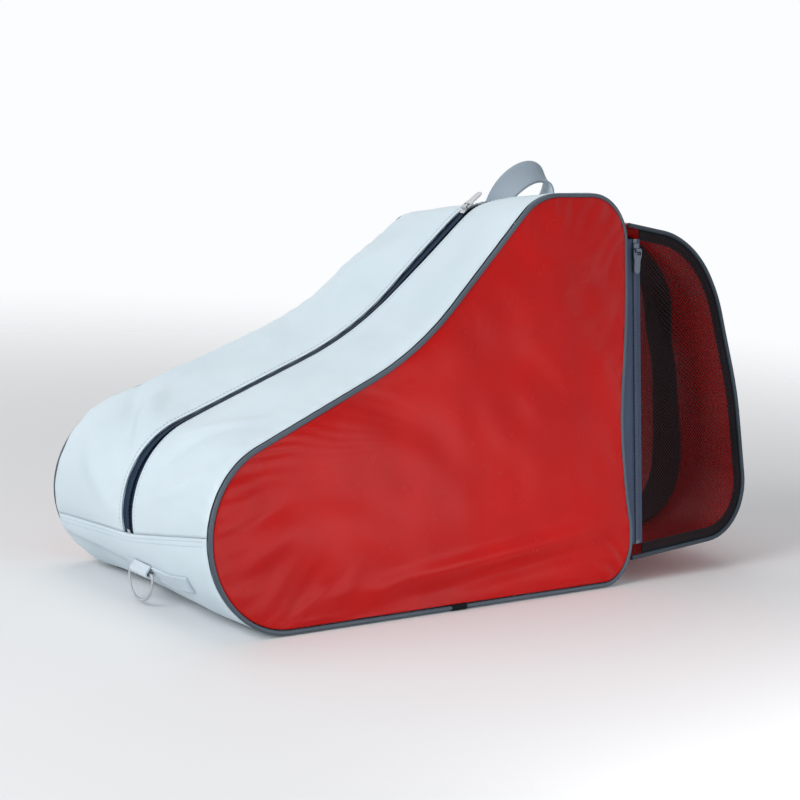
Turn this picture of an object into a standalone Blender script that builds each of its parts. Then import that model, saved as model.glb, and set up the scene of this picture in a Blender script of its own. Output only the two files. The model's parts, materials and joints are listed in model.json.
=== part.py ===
"""Boot-shaped skate bag with a zipped gusset and a net-sided pocket behind the heel.

X runs from the nose (-X) to the heel (+X), Y across the bag (left side at -Y), Z up.
The origin is on the underside of the base panel. Lengths are in metres, angles in degrees.
Side-view points are (x, z) pairs, with x measured from the nose and z from the floor.
The stuffed bag leans: its crown falls from the left seam to the right one, so the sides differ in height.
"""

import math

import bmesh
import bpy
from mathutils import Matrix, Vector

# Side outline of the bag, measured along the seam lines
BAG_LENGTH = 0.437
BAG_HEIGHT = 0.332
CROWN_FALL = 0.033
NOSE_RADIUS = 0.073
TOE_SLOPE = 22.4
SHIN_SLOPE = 43.3
CROWN_LENGTH = 0.102
BEND_RADIUS = 0.280
LEFT_CREST_RADIUS = 0.060
RIGHT_CREST_RADIUS = 0.012
HEEL_TOP_RADIUS = 0.040
HEEL_BOTTOM_RADIUS = 0.031
NOSE_TO_ORIGIN = 0.250

# Widths between the two side seams
BASE_WIDTH_NOSE = 0.266
BASE_WIDTH_HEEL = 0.213
TOP_WIDTH_HEEL = 0.120

# Sheet materials
PVC_THICKNESS = 0.0016
NET_THICKNESS = 0.0008
TAPE_THICKNESS = 0.0007
WEBBING_THICKNESS = 0.0014
PIPING_RADIUS = 0.0025
GAP = 0.0003

# Main zip along the middle of the gusset
SEAM_HEIGHT = 0.056
ZIP_PAST_SHIN = 0.030
ZIP_REVEAL = 0.010
ZIP_TAPE_EDGE = 0.013
COIL_WIDTH = 0.0044
COIL_ROOT_WIDTH = 0.0030
COIL_HEIGHT = 0.0023
COIL_PITCH = 0.0030
STOP_LENGTH = 0.0032

# Sliders and their pulls
SLIDER_LENGTH = 0.012
SLIDER_WIDTH = 0.0060
SLIDER_PLATE = 0.0012
SLIDER_PAST_SHIN = 0.008
BRIDGE_RADIUS = 0.0019
BRIDGE_BORE = 0.00095
BRIDGE_RISE = 0.0026
PULL_LENGTH = 0.020
PULL_EYE_WIDTH = 0.0096
PULL_TIP_WIDTH = 0.0070
PULL_BAR = 0.0012
PULL_SLOT_LENGTH = 0.0036
MAIN_PULL_DROOP = 4.5

# Carry handle on the crown
WEBBING_WIDTH = 0.026
HANDLE_TO_HEEL = 0.040
HANDLE_SPAN = 0.050
HANDLE_RISE = 0.0268
HANDLE_FOOT = 0.010
HANDLE_FRONT_LEAN = 0.022
HANDLE_REAR_LEAN = 0.0125
HANDLE_TWIST = 52.0

# Ring tabs
RING_WIDTH = 0.036
RING_DROP = 0.0235
RING_CORNER = 0.0035
RING_BOW = 0.017
RING_WIRE = 0.0022
TAB_WIDTH = 0.026
TAB_WALL = 0.0014
TAB_BORE = 0.0042
TAB_STEM = 0.0052
TAB_FOOT = 0.010
NOSE_TAB_X = 0.015
NOSE_TAB_Y = -0.008
CROWN_TAB_CLEARANCE = 0.003
NOSE_RING_DROOP = 90.0
CROWN_RING_DROOP = 45.0

# Pocket behind the heel; each corner's arc takes a share of the shorter side next to it
POCKET_TOP = 0.306
POCKET_BOTTOM = 0.022
POCKET_TOP_DEPTH = 0.081
POCKET_TOP_FALL = 0.0125
POCKET_TOP_ROUNDING = 0.448
POCKET_BACK_DEPTH = 0.135
POCKET_BACK_HEIGHT = 0.1745
POCKET_BACK_ROUNDING = 0.302
POCKET_FLOOR_DEPTH = 0.151
POCKET_FLOOR_RISE = 0.011
POCKET_FLOOR_ROUNDING = 0.361
HEM_WIDTH = 0.010
NET_PITCH = 0.0115
NET_STRAND = 0.0015
STRAP_WIDTH = 0.026
STRAP_TOP_INSET = 0.020
STRAP_FLOOR_INSET = 0.045

# Side zip between the left heel seam and the net
SIDE_TAPE_WIDTH = 0.0040
SIDE_ZIP_MARGIN = 0.012
SIDE_PULL_DROOP = 4.0

# Vectors hold 32-bit numbers, so equal lengths can differ by this much
ROUNDING = 0.000001

# Smoothness of the curves
ARC_STEPS = 8
BORE_STEPS = 16
HANDLE_STEPS = 16

# Finishes: base colour, roughness, metallic
RED_PVC = ((0.47, 0.017, 0.016), 0.34, 0.0)
SILVER_PVC = ((0.66, 0.76, 0.82), 0.30, 0.0)
SILVER_WEBBING = ((0.66, 0.76, 0.82), 0.80, 0.0)
SLATE_PIPING = ((0.092, 0.138, 0.188), 0.50, 0.0)
BLUE_TAPE = ((0.155, 0.223, 0.352), 0.70, 0.0)
NAVY_ZIP = ((0.012, 0.022, 0.040), 0.60, 0.0)
BLACK_WEBBING = ((0.008, 0.008, 0.010), 0.80, 0.0)
DARK_NET = ((0.050, 0.014, 0.016), 0.80, 0.0)
GREY_LINING = ((0.10, 0.11, 0.12), 0.70, 0.0)
BRIGHT_METAL = ((0.72, 0.73, 0.74), 0.22, 1.0)

COLLECTION = "skate_bag"
SIDES = ((-1, "left"), (1, "right"))

# Worked out from the sizes above
SEAM_INSET = PIPING_RADIUS + GAP
LEAN_X = (BASE_WIDTH_NOSE - BASE_WIDTH_HEEL) / (2.0 * BAG_LENGTH)
LEAN_Z = (BASE_WIDTH_HEEL - TOP_WIDTH_HEEL) / (2.0 * BAG_HEIGHT)


class Path:
    """Polyline in the side view, walked with the outside of the bag on its left."""

    def __init__(self, points, marks):
        self.points = points
        self.marks = marks
        self.length = [0.0]
        for a, b in zip(points, points[1:]):
            self.length.append(self.length[-1] + (b - a).length)

    def mark(self, name):
        return self.length[self.marks[name]]

    def end(self):
        return self.length[-1]

    def place(self, s):
        """Stretch of the path that holds distance s, and the share of it that is passed."""
        last = len(self.points) - 2
        i = next((k for k in range(last + 1) if self.length[k + 1] >= s), last)
        return i, (s - self.length[i]) / (self.length[i + 1] - self.length[i])

    def between(self, i, share):
        """Point and outward normal on one stretch."""
        a, b = self.points[i], self.points[i + 1]
        along = (b - a).normalized()
        return a.lerp(b, share), Vector((-along.y, along.x))

    def corner(self, i):
        """Point and mean outward normal at an inner corner."""
        before = (self.points[i] - self.points[i - 1]).normalized()
        after = (self.points[i + 1] - self.points[i]).normalized()
        along = (before + after).normalized()
        return self.points[i], Vector((-along.y, along.x))

    def corners(self, s0, s1):
        """Inner corners that lie between two distances."""
        return [i for i in range(1, len(self.points) - 1) if s0 + GAP < self.length[i] < s1 - GAP]

    def cut(self, s0, s1):
        """Points and normals from s0 to s1, with every corner between them."""
        inner = [self.corner(i) for i in self.corners(s0, s1)]
        return [self.between(*self.place(s0))] + inner + [self.between(*self.place(s1))]

    def find(self, axis, value, s0, s1):
        """Distance along the path where a coordinate passes a value, between s0 and s1."""
        for i, (a, b) in enumerate(zip(self.points, self.points[1:])):
            low, high = sorted((a[axis], b[axis]))
            if low - ROUNDING <= value <= high + ROUNDING and high > low:
                s = self.length[i] + (b - a).length * (value - a[axis]) / (b[axis] - a[axis])
                if s0 - ROUNDING <= s <= s1 + ROUNDING:
                    return min(max(s, s0), s1)
        raise ValueError("the path does not pass this value")


class Rib:
    """Straight line across the bag between two side-view points, each at its own y."""

    def __init__(self, low, high, y_low, y_high, normal):
        self.low = low
        self.high = high
        self.y_low = y_low
        self.y_high = y_high
        self.normal = normal

    def point(self, y, offset):
        """Side-view point of the rib at y, moved outward by an offset."""
        share = (y - self.y_low) / (self.y_high - self.y_low)
        return self.low.lerp(self.high, share) + self.normal * offset

    def at(self, y, offset):
        return in_space(self.point(y, offset), y)

    def slope(self):
        """Change of the side-view point for each metre across."""
        return (self.high - self.low) / (self.y_high - self.y_low)

    def edges(self):
        """Values of y beside the two pipings."""
        return self.y_low + SEAM_INSET, self.y_high - SEAM_INSET


class Seams:
    """Left and right seam lines with matching corners, joined by ribs and measured along their middle."""

    def __init__(self, left, right):
        self.left = left
        self.right = right
        points = []
        for a, b in zip(left.points, right.points):
            share = half_width(a) / (half_width(a) + half_width(b))
            points.append(a.lerp(b, share))
        self.middle = Path(points, left.marks)

    def join(self, left, right):
        """Rib between two stations, one on each seam line."""
        normal = (left[1] + right[1]).normalized()
        return Rib(left[0], right[0], -half_width(left[0]), half_width(right[0]), normal)

    def rib(self, s):
        i, share = self.middle.place(s)
        return self.join(self.left.between(i, share), self.right.between(i, share))

    def ribs(self, s0, s1):
        """Ribs from s0 to s1 along the middle, with one at every corner between them."""
        inner = [self.join(self.left.corner(i), self.right.corner(i)) for i in self.middle.corners(s0, s1)]
        return [self.rib(s0)] + inner + [self.rib(s1)]


def fillet(corner, before, after, radius):
    """Points of the arc that rounds a corner between two straight lines."""
    d1 = (before - corner).normalized()
    d2 = (after - corner).normalized()
    half = 0.5 * math.acos(max(-1.0, min(1.0, d1.dot(d2))))
    centre = corner + (d1 + d2).normalized() * radius / math.sin(half)
    start = corner + d1 * radius / math.tan(half) - centre
    stop = corner + d2 * radius / math.tan(half) - centre
    sweep = math.copysign(math.pi - 2.0 * half, start.x * stop.y - start.y * stop.x)
    turns = [Matrix.Rotation(sweep * k / ARC_STEPS, 2) for k in range(ARC_STEPS + 1)]
    return [centre + turn @ start for turn in turns]


def shared_radius(corner, before, after, share):
    """Radius of the arc that takes a share of the shorter side at a corner."""
    sides = before - corner, after - corner
    reach = share * min(side.length for side in sides)
    return reach * math.tan(0.5 * sides[0].angle(sides[1]))


def rounded_path(corners, closed):
    """Path through named corners (name, point, radius), with arcs marked name_start and name_end."""
    points, marks = [], {}
    count = len(corners)
    for i, (name, point, radius) in enumerate(corners):
        inside = closed or 0 < i < count - 1
        if inside:
            before = corners[i - 1][1]
            after = corners[(i + 1) % count][1]
            arc = fillet(point, before, after, radius)
        else:
            arc = [point]
        if points and (arc[0] - points[-1]).length < GAP:
            arc = arc[1:]
            marks[name + "_start"] = len(points) - 1
        else:
            marks[name + "_start"] = len(points)
        points.extend(arc)
        marks[name + "_end"] = len(points) - 1
    if closed:
        points.append(points[0].copy())
    return Path(points, marks)


def bag_outline(height, crest_radius):
    """Closed seam line of a side panel, from the heel's foot round the nose and back over the crown.

    The shin is the same line at any height, so a lower crown starts nearer the nose.
    """
    floor = PIPING_RADIUS
    toe = math.radians(TOE_SLOPE)
    shin = math.radians(SHIN_SLOPE)
    touch = Vector((NOSE_RADIUS * (1 - math.sin(toe)), floor + NOSE_RADIUS * (1 + math.cos(toe))))
    nose_top = Vector((0.0, touch.y - touch.x * math.tan(toe)))
    crest_x = BAG_LENGTH - CROWN_LENGTH - (BAG_HEIGHT - height) / math.tan(shin)
    crest = Vector((crest_x, height))
    run = crest.y - nose_top.y - crest.x * math.tan(shin)
    bend_x = run / (math.tan(toe) - math.tan(shin))
    bend = Vector((bend_x, nose_top.y + bend_x * math.tan(toe)))
    corners = [
        ("heel_foot", Vector((BAG_LENGTH, floor)), HEEL_BOTTOM_RADIUS),
        ("nose_foot", Vector((0.0, floor)), NOSE_RADIUS),
        ("nose_top", nose_top, NOSE_RADIUS),
        ("bend", bend, BEND_RADIUS),
        ("crest", crest, crest_radius),
        ("heel_top", Vector((BAG_LENGTH, height)), HEEL_TOP_RADIUS),
    ]
    return rounded_path(corners, closed=True)


def pocket_outline(top):
    """Open seam line of the pocket's side, from the top of the heel round the back to its foot."""
    start = BAG_LENGTH + SEAM_INSET
    places = [
        ("top", Vector((start, top)), 0.0),
        ("top_back", Vector((BAG_LENGTH + POCKET_TOP_DEPTH, top - POCKET_TOP_FALL)), POCKET_TOP_ROUNDING),
        ("back", Vector((BAG_LENGTH + POCKET_BACK_DEPTH, POCKET_BACK_HEIGHT)), POCKET_BACK_ROUNDING),
        ("floor_back", Vector((BAG_LENGTH + POCKET_FLOOR_DEPTH, POCKET_BOTTOM + POCKET_FLOOR_RISE)),
         POCKET_FLOOR_ROUNDING),
        ("floor", Vector((start, POCKET_BOTTOM)), 0.0),
    ]
    corners = [places[0]]
    for (_, before, _), (name, point, share), (_, after, _) in zip(places, places[1:], places[2:]):
        corners.append((name, point, shared_radius(point, before, after, share)))
    corners.append(places[-1])
    return rounded_path(corners, closed=False)


def half_width(point):
    """Distance of the flat side planes from the middle of the bag."""
    return BASE_WIDTH_NOSE / 2.0 - LEAN_X * point.x - LEAN_Z * point.y


def in_space(point, y):
    return Vector((point.x - NOSE_TO_ORIGIN, y, point.y))


def on_side(side, point):
    """Side-view point carried to the left (-1) or right (+1) side plane."""
    return in_space(point, side * half_width(point))


def principled(name, colour, roughness, metallic):
    """Material with one Principled BSDF."""
    material = bpy.data.materials.new(name)
    material.use_nodes = True
    shader = material.node_tree.nodes["Principled BSDF"]
    shader.inputs["Base Color"].default_value = (*colour, 1.0)
    shader.inputs["Roughness"].default_value = roughness
    shader.inputs["Metallic"].default_value = metallic
    material.diffuse_color = (*colour, 1.0)
    return material


def add_object(name, data, finish, matrix=None):
    """Link a named part with its own material to the bag's collection."""
    obj = bpy.data.objects.new(name, data)
    bpy.data.collections[COLLECTION].objects.link(obj)
    data.materials.append(principled(name, *finish))
    if matrix is not None:
        obj.matrix_world = matrix
    return obj


def loft(name, sections, finish):
    """Solid through a row of sections, each with an outer row of points and an inner row coming back."""
    mesh = bpy.data.meshes.new(name)
    bm = bmesh.new()
    rings = [[bm.verts.new(corner) for corner in section] for section in sections]
    for ring, following in zip(rings, rings[1:]):
        for k in range(len(ring)):
            after = (k + 1) % len(ring)
            bm.faces.new((ring[k], ring[after], following[after], following[k]))
    for ring in (rings[0], rings[-1]):
        for k in range(len(ring) // 2 - 1):
            bm.faces.new((ring[k], ring[k + 1], ring[-2 - k], ring[-1 - k]))
    bmesh.ops.recalc_face_normals(bm, faces=bm.faces)
    bm.to_mesh(mesh)
    bm.free()
    return add_object(name, mesh, finish)


def section(rib, cuts, low, high):
    """Points across a rib at offset high, and back at offset low."""
    return [rib.at(y, high) for y in cuts] + [rib.at(y, low) for y in reversed(cuts)]


def strip(name, ribs, cuts, low, high, finish):
    """Sheet over a row of ribs, from offset low to high; cuts gives its values of y on a rib."""
    return loft(name, [section(rib, cuts(rib), low, high) for rib in ribs], finish)


def outline_sheet(name, outlines, thickness, matrix, finish):
    """Flat closed outlines, filled with any inner outline as a hole and extruded to a thickness."""
    curve = bpy.data.curves.new(name, "CURVE")
    curve.dimensions = "2D"
    curve.fill_mode = "BOTH"
    curve.extrude = thickness / 2.0
    for outline in outlines:
        spline = curve.splines.new("POLY")
        spline.points.add(len(outline) - 1)
        for vertex, point in zip(spline.points, outline):
            vertex.co = (point[0], point[1], 0.0, 1.0)
        spline.use_cyclic_u = True
    return add_object(name, curve, finish, matrix)


def cord(name, points, radius, closed, finish, matrix=None):
    """Round cord or wire through the given points, capped where it is open."""
    curve = bpy.data.curves.new(name, "CURVE")
    curve.dimensions = "3D"
    curve.bevel_depth = radius
    curve.bevel_resolution = 2
    curve.use_fill_caps = True
    spline = curve.splines.new("POLY")
    spline.points.add(len(points) - 1)
    for vertex, point in zip(spline.points, points):
        vertex.co = (*point, 1.0)
    spline.use_cyclic_u = closed
    return add_object(name, curve, finish, matrix)


def frame(origin, x_axis, y_axis):
    """Matrix of a local frame from two square axes."""
    z_axis = x_axis.cross(y_axis)
    matrix = Matrix((x_axis, y_axis, z_axis)).transposed().to_4x4()
    matrix.translation = origin
    return matrix


def side_axes(side):
    """Unit vectors of a side plane: level and backward, upward in the plane, and out of the bag."""
    level = Vector((1.0, -side * LEAN_X, 0.0)).normalized()
    up = Vector((0.0, -side * LEAN_Z, 1.0))
    up = (up - level * up.dot(level)).normalized()
    return level, up, level.cross(up) * -side


def side_sheet(name, side, outlines, thickness, depth, finish):
    """Flat sheet in a side plane, its middle set in from the plane by depth."""
    level, up, outward = side_axes(side)
    corner = on_side(side, Vector((0.0, 0.0)))
    flat = []
    for outline in outlines:
        spans = [on_side(side, point) - corner for point in outline]
        flat.append([(span.dot(level), span.dot(up)) for span in spans])
    return outline_sheet(name, flat, thickness, frame(corner - outward * depth, level, up), finish)


def circle(centre, radius, steps):
    """Points of a full circle."""
    turns = [2.0 * math.pi * k / steps for k in range(steps)]
    return [Vector((centre.x + radius * math.cos(t), centre.y + radius * math.sin(t))) for t in turns]


def centred(half):
    """Cuts of a strip at either side of the bag's middle."""
    return lambda rib: (-half, half)


def left_of_zip(rib):
    """Cuts of the gusset between the left piping and the zip."""
    return rib.edges()[0], -ZIP_TAPE_EDGE, -ZIP_REVEAL / 2.0


def right_of_zip(rib):
    """Cuts of the gusset between the zip and the right piping."""
    return ZIP_REVEAL / 2.0, ZIP_TAPE_EDGE, rib.edges()[1]


def over_strap(rib):
    """Cuts of the pocket's band, with one along each edge of the strap under it."""
    low, high = rib.edges()
    return low, -STRAP_WIDTH / 2.0, STRAP_WIDTH / 2.0, high


def add_side_panels(seams):
    """Red side panels, each inside its ring of piping."""
    for side, label in SIDES:
        outline = seams.left if side < 0 else seams.right
        stations = outline.cut(0.0, outline.end())[:-1]
        inset = [point - normal * SEAM_INSET for point, normal in stations]
        side_sheet("side_panel_" + label, side, [inset], PVC_THICKNESS, 0.0, RED_PVC)
        seam = [on_side(side, point) for point in outline.points[:-1]]
        cord("piping_" + label, seam, PIPING_RADIUS, True, SLATE_PIPING)


def add_gusset(seams, zip_top):
    """Silver panels between the two pipings: two beside the zip, then crown, heel, base and nose."""
    half = PVC_THICKNESS / 2.0
    outline = seams.middle
    base_front = outline.mark("nose_foot_start")
    heel_top = outline.mark("heel_top_end")
    seam = outline.find(1, SEAM_HEIGHT, base_front, outline.mark("nose_top_start"))
    beside_zip = seams.ribs(seam + GAP, zip_top)
    strip("top_gusset_left", beside_zip, left_of_zip, -half, half, SILVER_PVC)
    strip("top_gusset_right", beside_zip, right_of_zip, -half, half, SILVER_PVC)
    strip("nose_panel", seams.ribs(base_front + GAP, seam), Rib.edges, -half, half, SILVER_PVC)
    strip("crown_panel", seams.ribs(zip_top + GAP, heel_top), Rib.edges, -half, half, SILVER_PVC)
    strip("heel_panel", seams.ribs(heel_top + GAP, outline.end()), Rib.edges, -half, half, GREY_LINING)
    base_low = PIPING_RADIUS - PVC_THICKNESS
    strip("base_panel", seams.ribs(GAP, base_front), Rib.edges, base_low, PIPING_RADIUS, SILVER_PVC)
    return seam


def add_main_zip(seams, seam, zip_top):
    """Tapes under the gusset edges, the coil between them and a stop at each end."""
    top = -PVC_THICKNESS / 2.0 - GAP
    low = top - TAPE_THICKNESS
    root = COIL_WIDTH / 2.0 + GAP
    zip_edge = ZIP_REVEAL / 2.0
    along = seams.ribs(seam + GAP, zip_top)
    left = (-ZIP_TAPE_EDGE, -zip_edge, -root)
    right = (root, zip_edge, ZIP_TAPE_EDGE)
    strip("zip_tape_left", along, lambda rib: left, low, top, NAVY_ZIP)
    strip("zip_tape_right", along, lambda rib: right, low, top, NAVY_ZIP)

    first = seam + STOP_LENGTH + 3 * GAP
    last = zip_top - STOP_LENGTH - 2 * GAP
    count = int((last - first) / (COIL_PITCH / 2.0))
    sections = []
    for k in range(count + 1):
        half = (COIL_WIDTH if k % 2 else COIL_ROOT_WIDTH) / 2.0
        rib = seams.rib(first + (last - first) * k / count)
        sections.append(section(rib, (-half, half), low, low + COIL_HEIGHT))
    loft("zip_coil", sections, NAVY_ZIP)

    ends = (("zip_bottom_stop", seam + 2 * GAP), ("zip_top_stop", zip_top - STOP_LENGTH - GAP))
    for name, start in ends:
        ribs = seams.ribs(start, start + STOP_LENGTH)
        strip(name, ribs, centred(COIL_WIDTH / 2.0), low, low + COIL_HEIGHT, BRIGHT_METAL)
    return low + COIL_HEIGHT + GAP


def add_slider(name, origin, travel, outward):
    """Slider plate with a bored bridge on top: a side outline extruded across the zip."""
    half = SLIDER_LENGTH / 2.0
    bridge = Vector((0.0, BRIDGE_RISE))
    steps = BORE_STEPS // 2
    crown = []
    for k in range(steps + 1):
        turn = math.pi * k / steps
        crown.append(bridge + Vector((math.cos(turn), math.sin(turn))) * BRIDGE_RADIUS)
    plate = ((-half, SLIDER_PLATE), (-half, 0.0), (half, 0.0), (half, SLIDER_PLATE))
    foot = [Vector(corner) for corner in plate]
    shoulders = [Vector((BRIDGE_RADIUS, SLIDER_PLATE))] + crown + [Vector((-BRIDGE_RADIUS, SLIDER_PLATE))]
    outlines = [foot + shoulders, circle(bridge, BRIDGE_BORE, BORE_STEPS)]
    return outline_sheet(name, outlines, SLIDER_WIDTH, frame(origin, travel, outward), BRIGHT_METAL)


def add_pull(name, origin, along, across):
    """Flat pull whose eye bar lies in the bridge of its slider."""
    bar = PULL_BAR / 2.0
    eye = PULL_EYE_WIDTH / 2.0
    tip = PULL_TIP_WIDTH / 2.0
    slot = SLIDER_WIDTH / 2.0 + 2 * GAP
    slot_end = bar + PULL_SLOT_LENGTH
    body = [Vector((-bar, -eye)), Vector((slot_end, -eye)), Vector((slot_end + eye, -tip))]
    end = Vector((PULL_LENGTH - tip, 0.0))
    steps = BORE_STEPS // 2
    for k in range(steps + 1):
        turn = math.pi * (k / steps - 0.5)
        body.append(end + Vector((math.cos(turn), math.sin(turn))) * tip)
    body += [Vector((slot_end + eye, tip)), Vector((slot_end, eye)), Vector((-bar, eye))]
    hole = [Vector((bar, -slot)), Vector((slot_end, -slot)), Vector((slot_end, slot)), Vector((bar, slot))]
    return outline_sheet(name, [body, hole], PULL_BAR, frame(origin, along, across), BRIGHT_METAL)


def add_main_slider(seams, ride_height):
    """Slider parked where the straight shin ends, its pull lying towards the handle."""
    shin = math.radians(SHIN_SLOPE)
    travel = Vector((math.cos(shin), 0.0, math.sin(shin)))
    outward = Vector((-math.sin(shin), 0.0, math.cos(shin)))
    shin_end = in_space(seams.middle.points[seams.middle.marks["crest_start"]], 0.0)
    origin = shin_end + travel * SLIDER_PAST_SHIN + outward * ride_height
    add_slider("zip_slider", origin, travel, outward)
    lie = math.radians(SHIN_SLOPE - MAIN_PULL_DROOP)
    along = Vector((math.cos(lie), 0.0, math.sin(lie)))
    add_pull("zip_pull", origin + outward * BRIDGE_RISE, along, Vector((0.0, 1.0, 0.0)))


def add_handle(seams):
    """Webbing handle: two sewn feet on the crown and a loop that leans back and turns on its edge."""
    skin = PVC_THICKNESS / 2.0 + GAP + WEBBING_THICKNESS / 2.0
    top = seams.middle.mark("heel_top_end")
    bend = seams.middle.mark("bend_end")
    rear_x = BAG_LENGTH - HANDLE_TO_HEEL
    front = seams.middle.find(0, rear_x - HANDLE_SPAN, bend, top)
    rear = seams.middle.find(0, rear_x, bend, top)
    front_foot = seams.ribs(front - HANDLE_FOOT, front)
    rear_foot = seams.ribs(rear, rear + HANDLE_FOOT)
    start = front_foot[-1].point(0.0, skin)
    finish = rear_foot[0].point(0.0, skin)
    # A cubic with both inner controls at one height rises to three quarters of it
    lift = HANDLE_RISE * 4.0 / 3.0
    front_control = start + Vector((HANDLE_FRONT_LEAN, lift))
    rear_control = finish + Vector((HANDLE_REAR_LEAN, lift))
    line = [(rib.point(0.0, skin), rib.slope(), 0.0) for rib in front_foot]
    for k in range(1, HANDLE_STEPS):
        t = k / HANDLE_STEPS
        point = start * (1 - t) ** 3 + front_control * 3 * t * (1 - t) ** 2
        point += rear_control * 3 * t * t * (1 - t) + finish * t ** 3
        slope = front_foot[-1].slope().lerp(rear_foot[0].slope(), t)
        line.append((point, slope, math.radians(HANDLE_TWIST) * math.sin(math.pi * t)))
    line += [(rib.point(0.0, skin), rib.slope(), 0.0) for rib in rear_foot]

    edge = WEBBING_WIDTH / 2.0
    half = WEBBING_THICKNESS / 2.0
    path = Path([point for point, _, _ in line], {})
    sections = []
    for (point, slope, twist), (_, normal) in zip(line, path.cut(0.0, path.end())):
        level = Vector((slope.x, 1.0, slope.y))
        upright = Vector((normal.x, 0.0, normal.y))
        across = (level * math.cos(twist) + upright * math.sin(twist)) * edge
        outward = (upright * math.cos(twist) - level * math.sin(twist)) * half
        centre = in_space(point, 0.0)
        sections.append([centre - across + outward, centre + across + outward,
                         centre + across - outward, centre - across - outward])
    loft("carry_handle", sections, SILVER_WEBBING)
    return rear + HANDLE_FOOT


def add_ring_tab(seams, label, s, y, ring_turn):
    """Folded webbing tab on the gusset with a D-shaped wire ring through its fold.

    ring_turn is the ring's angle below the level, measured from +X towards -Z.
    """
    skin = PVC_THICKNESS / 2.0 + GAP
    foot = [rib.at(y, skin) for rib in seams.ribs(s - TAB_FOOT / 2.0, s + TAB_FOOT / 2.0)]
    base = seams.rib(s).at(y, skin)
    slope = seams.rib(s).slope()
    across = Vector((slope.x, 1.0, slope.y)).normalized()
    along = foot[-1] - foot[0]
    along = (along - across * along.dot(across)).normalized()
    outward = along.cross(across)
    bore = Vector((0.0, TAB_STEM))
    outer = TAB_BORE / 2.0 + TAB_WALL
    steps = BORE_STEPS // 2
    shape = [Vector(((p - base).dot(along), (p - base).dot(outward))) for p in foot]
    for k in range(steps + 1):
        turn = math.pi * k / steps
        shape.append(bore + Vector((math.cos(turn), math.sin(turn))) * outer)
    outlines = [shape, circle(bore, TAB_BORE / 2.0, BORE_STEPS)]
    outline_sheet(label + "_ring_tab", outlines, TAB_WIDTH, frame(base, along, outward), SILVER_WEBBING)

    turn = math.radians(ring_turn)
    hang = Vector((math.cos(turn), 0.0, -math.sin(turn)))
    hang = (hang - across * hang.dot(across)).normalized()
    side = RING_WIDTH / 2.0
    corners = [
        ("bar_low", Vector((-side, 0.0)), RING_CORNER),
        ("bar_high", Vector((side, 0.0)), RING_CORNER),
        ("bow_high", Vector((side, RING_DROP)), RING_BOW),
        ("bow_low", Vector((-side, RING_DROP)), RING_BOW),
    ]
    shape = rounded_path(corners, closed=True).points[:-1]
    wire = [across * p.x + hang * p.y for p in shape]
    pivot = base + outward * TAB_STEM
    cord(label + "_ring", wire, RING_WIRE / 2.0, True, BRIGHT_METAL, Matrix.Translation(pivot))


def add_rings(seams, handle_end):
    """One ring under the nose and one behind the handle, for a shoulder strap."""
    outline = seams.middle
    nose = outline.find(0, NOSE_TAB_X, outline.mark("nose_foot_start"), outline.mark("nose_top_start"))
    crown = handle_end + CROWN_TAB_CLEARANCE + TAB_FOOT / 2.0
    add_ring_tab(seams, "nose", nose, NOSE_TAB_Y, NOSE_RING_DROOP)
    add_ring_tab(seams, "crown", crown, 0.0, CROWN_RING_DROOP)


def inset_points(stations, inset, edge):
    """Stations moved in from the path, and kept behind a straight front edge."""
    moved = [point - normal * inset for point, normal in stations]
    return [Vector((max(point.x, edge), point.y)) for point in moved]


def encloses(outline, point):
    """Whether a closed outline goes round a point, by the even-odd rule."""
    odd = False
    for a, b in zip(outline, outline[1:] + outline[:1]):
        if (a.y > point.y) != (b.y > point.y):
            crossing = a.x + (b.x - a.x) * (point.y - a.y) / (b.y - a.y)
            odd = odd != (crossing > point.x)
    return odd


def net_gaps(outline):
    """Diamond gaps of a knotted net, on a diagonal grid, wherever a whole one fits inside an outline."""
    reach = (NET_PITCH - NET_STRAND) / math.sqrt(2.0)
    clear = reach + NET_STRAND
    step = NET_PITCH / math.sqrt(2.0)
    corners = [Vector(c) for c in ((1.0, 0.0), (0.0, 1.0), (-1.0, 0.0), (0.0, -1.0))]
    low_x = min(p.x for p in outline)
    low_y = min(p.y for p in outline)
    columns = int((max(p.x for p in outline) - low_x) / step)
    rows = int((max(p.y for p in outline) - low_y) / step)
    gaps = []
    for column in range(columns + 1):
        for row in range(column % 2, rows + 1, 2):
            centre = Vector((low_x + column * step, low_y + row * step))
            if all(encloses(outline, centre + c * clear) for c in corners):
                gaps.append([centre + c * reach for c in corners])
    return gaps


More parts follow.
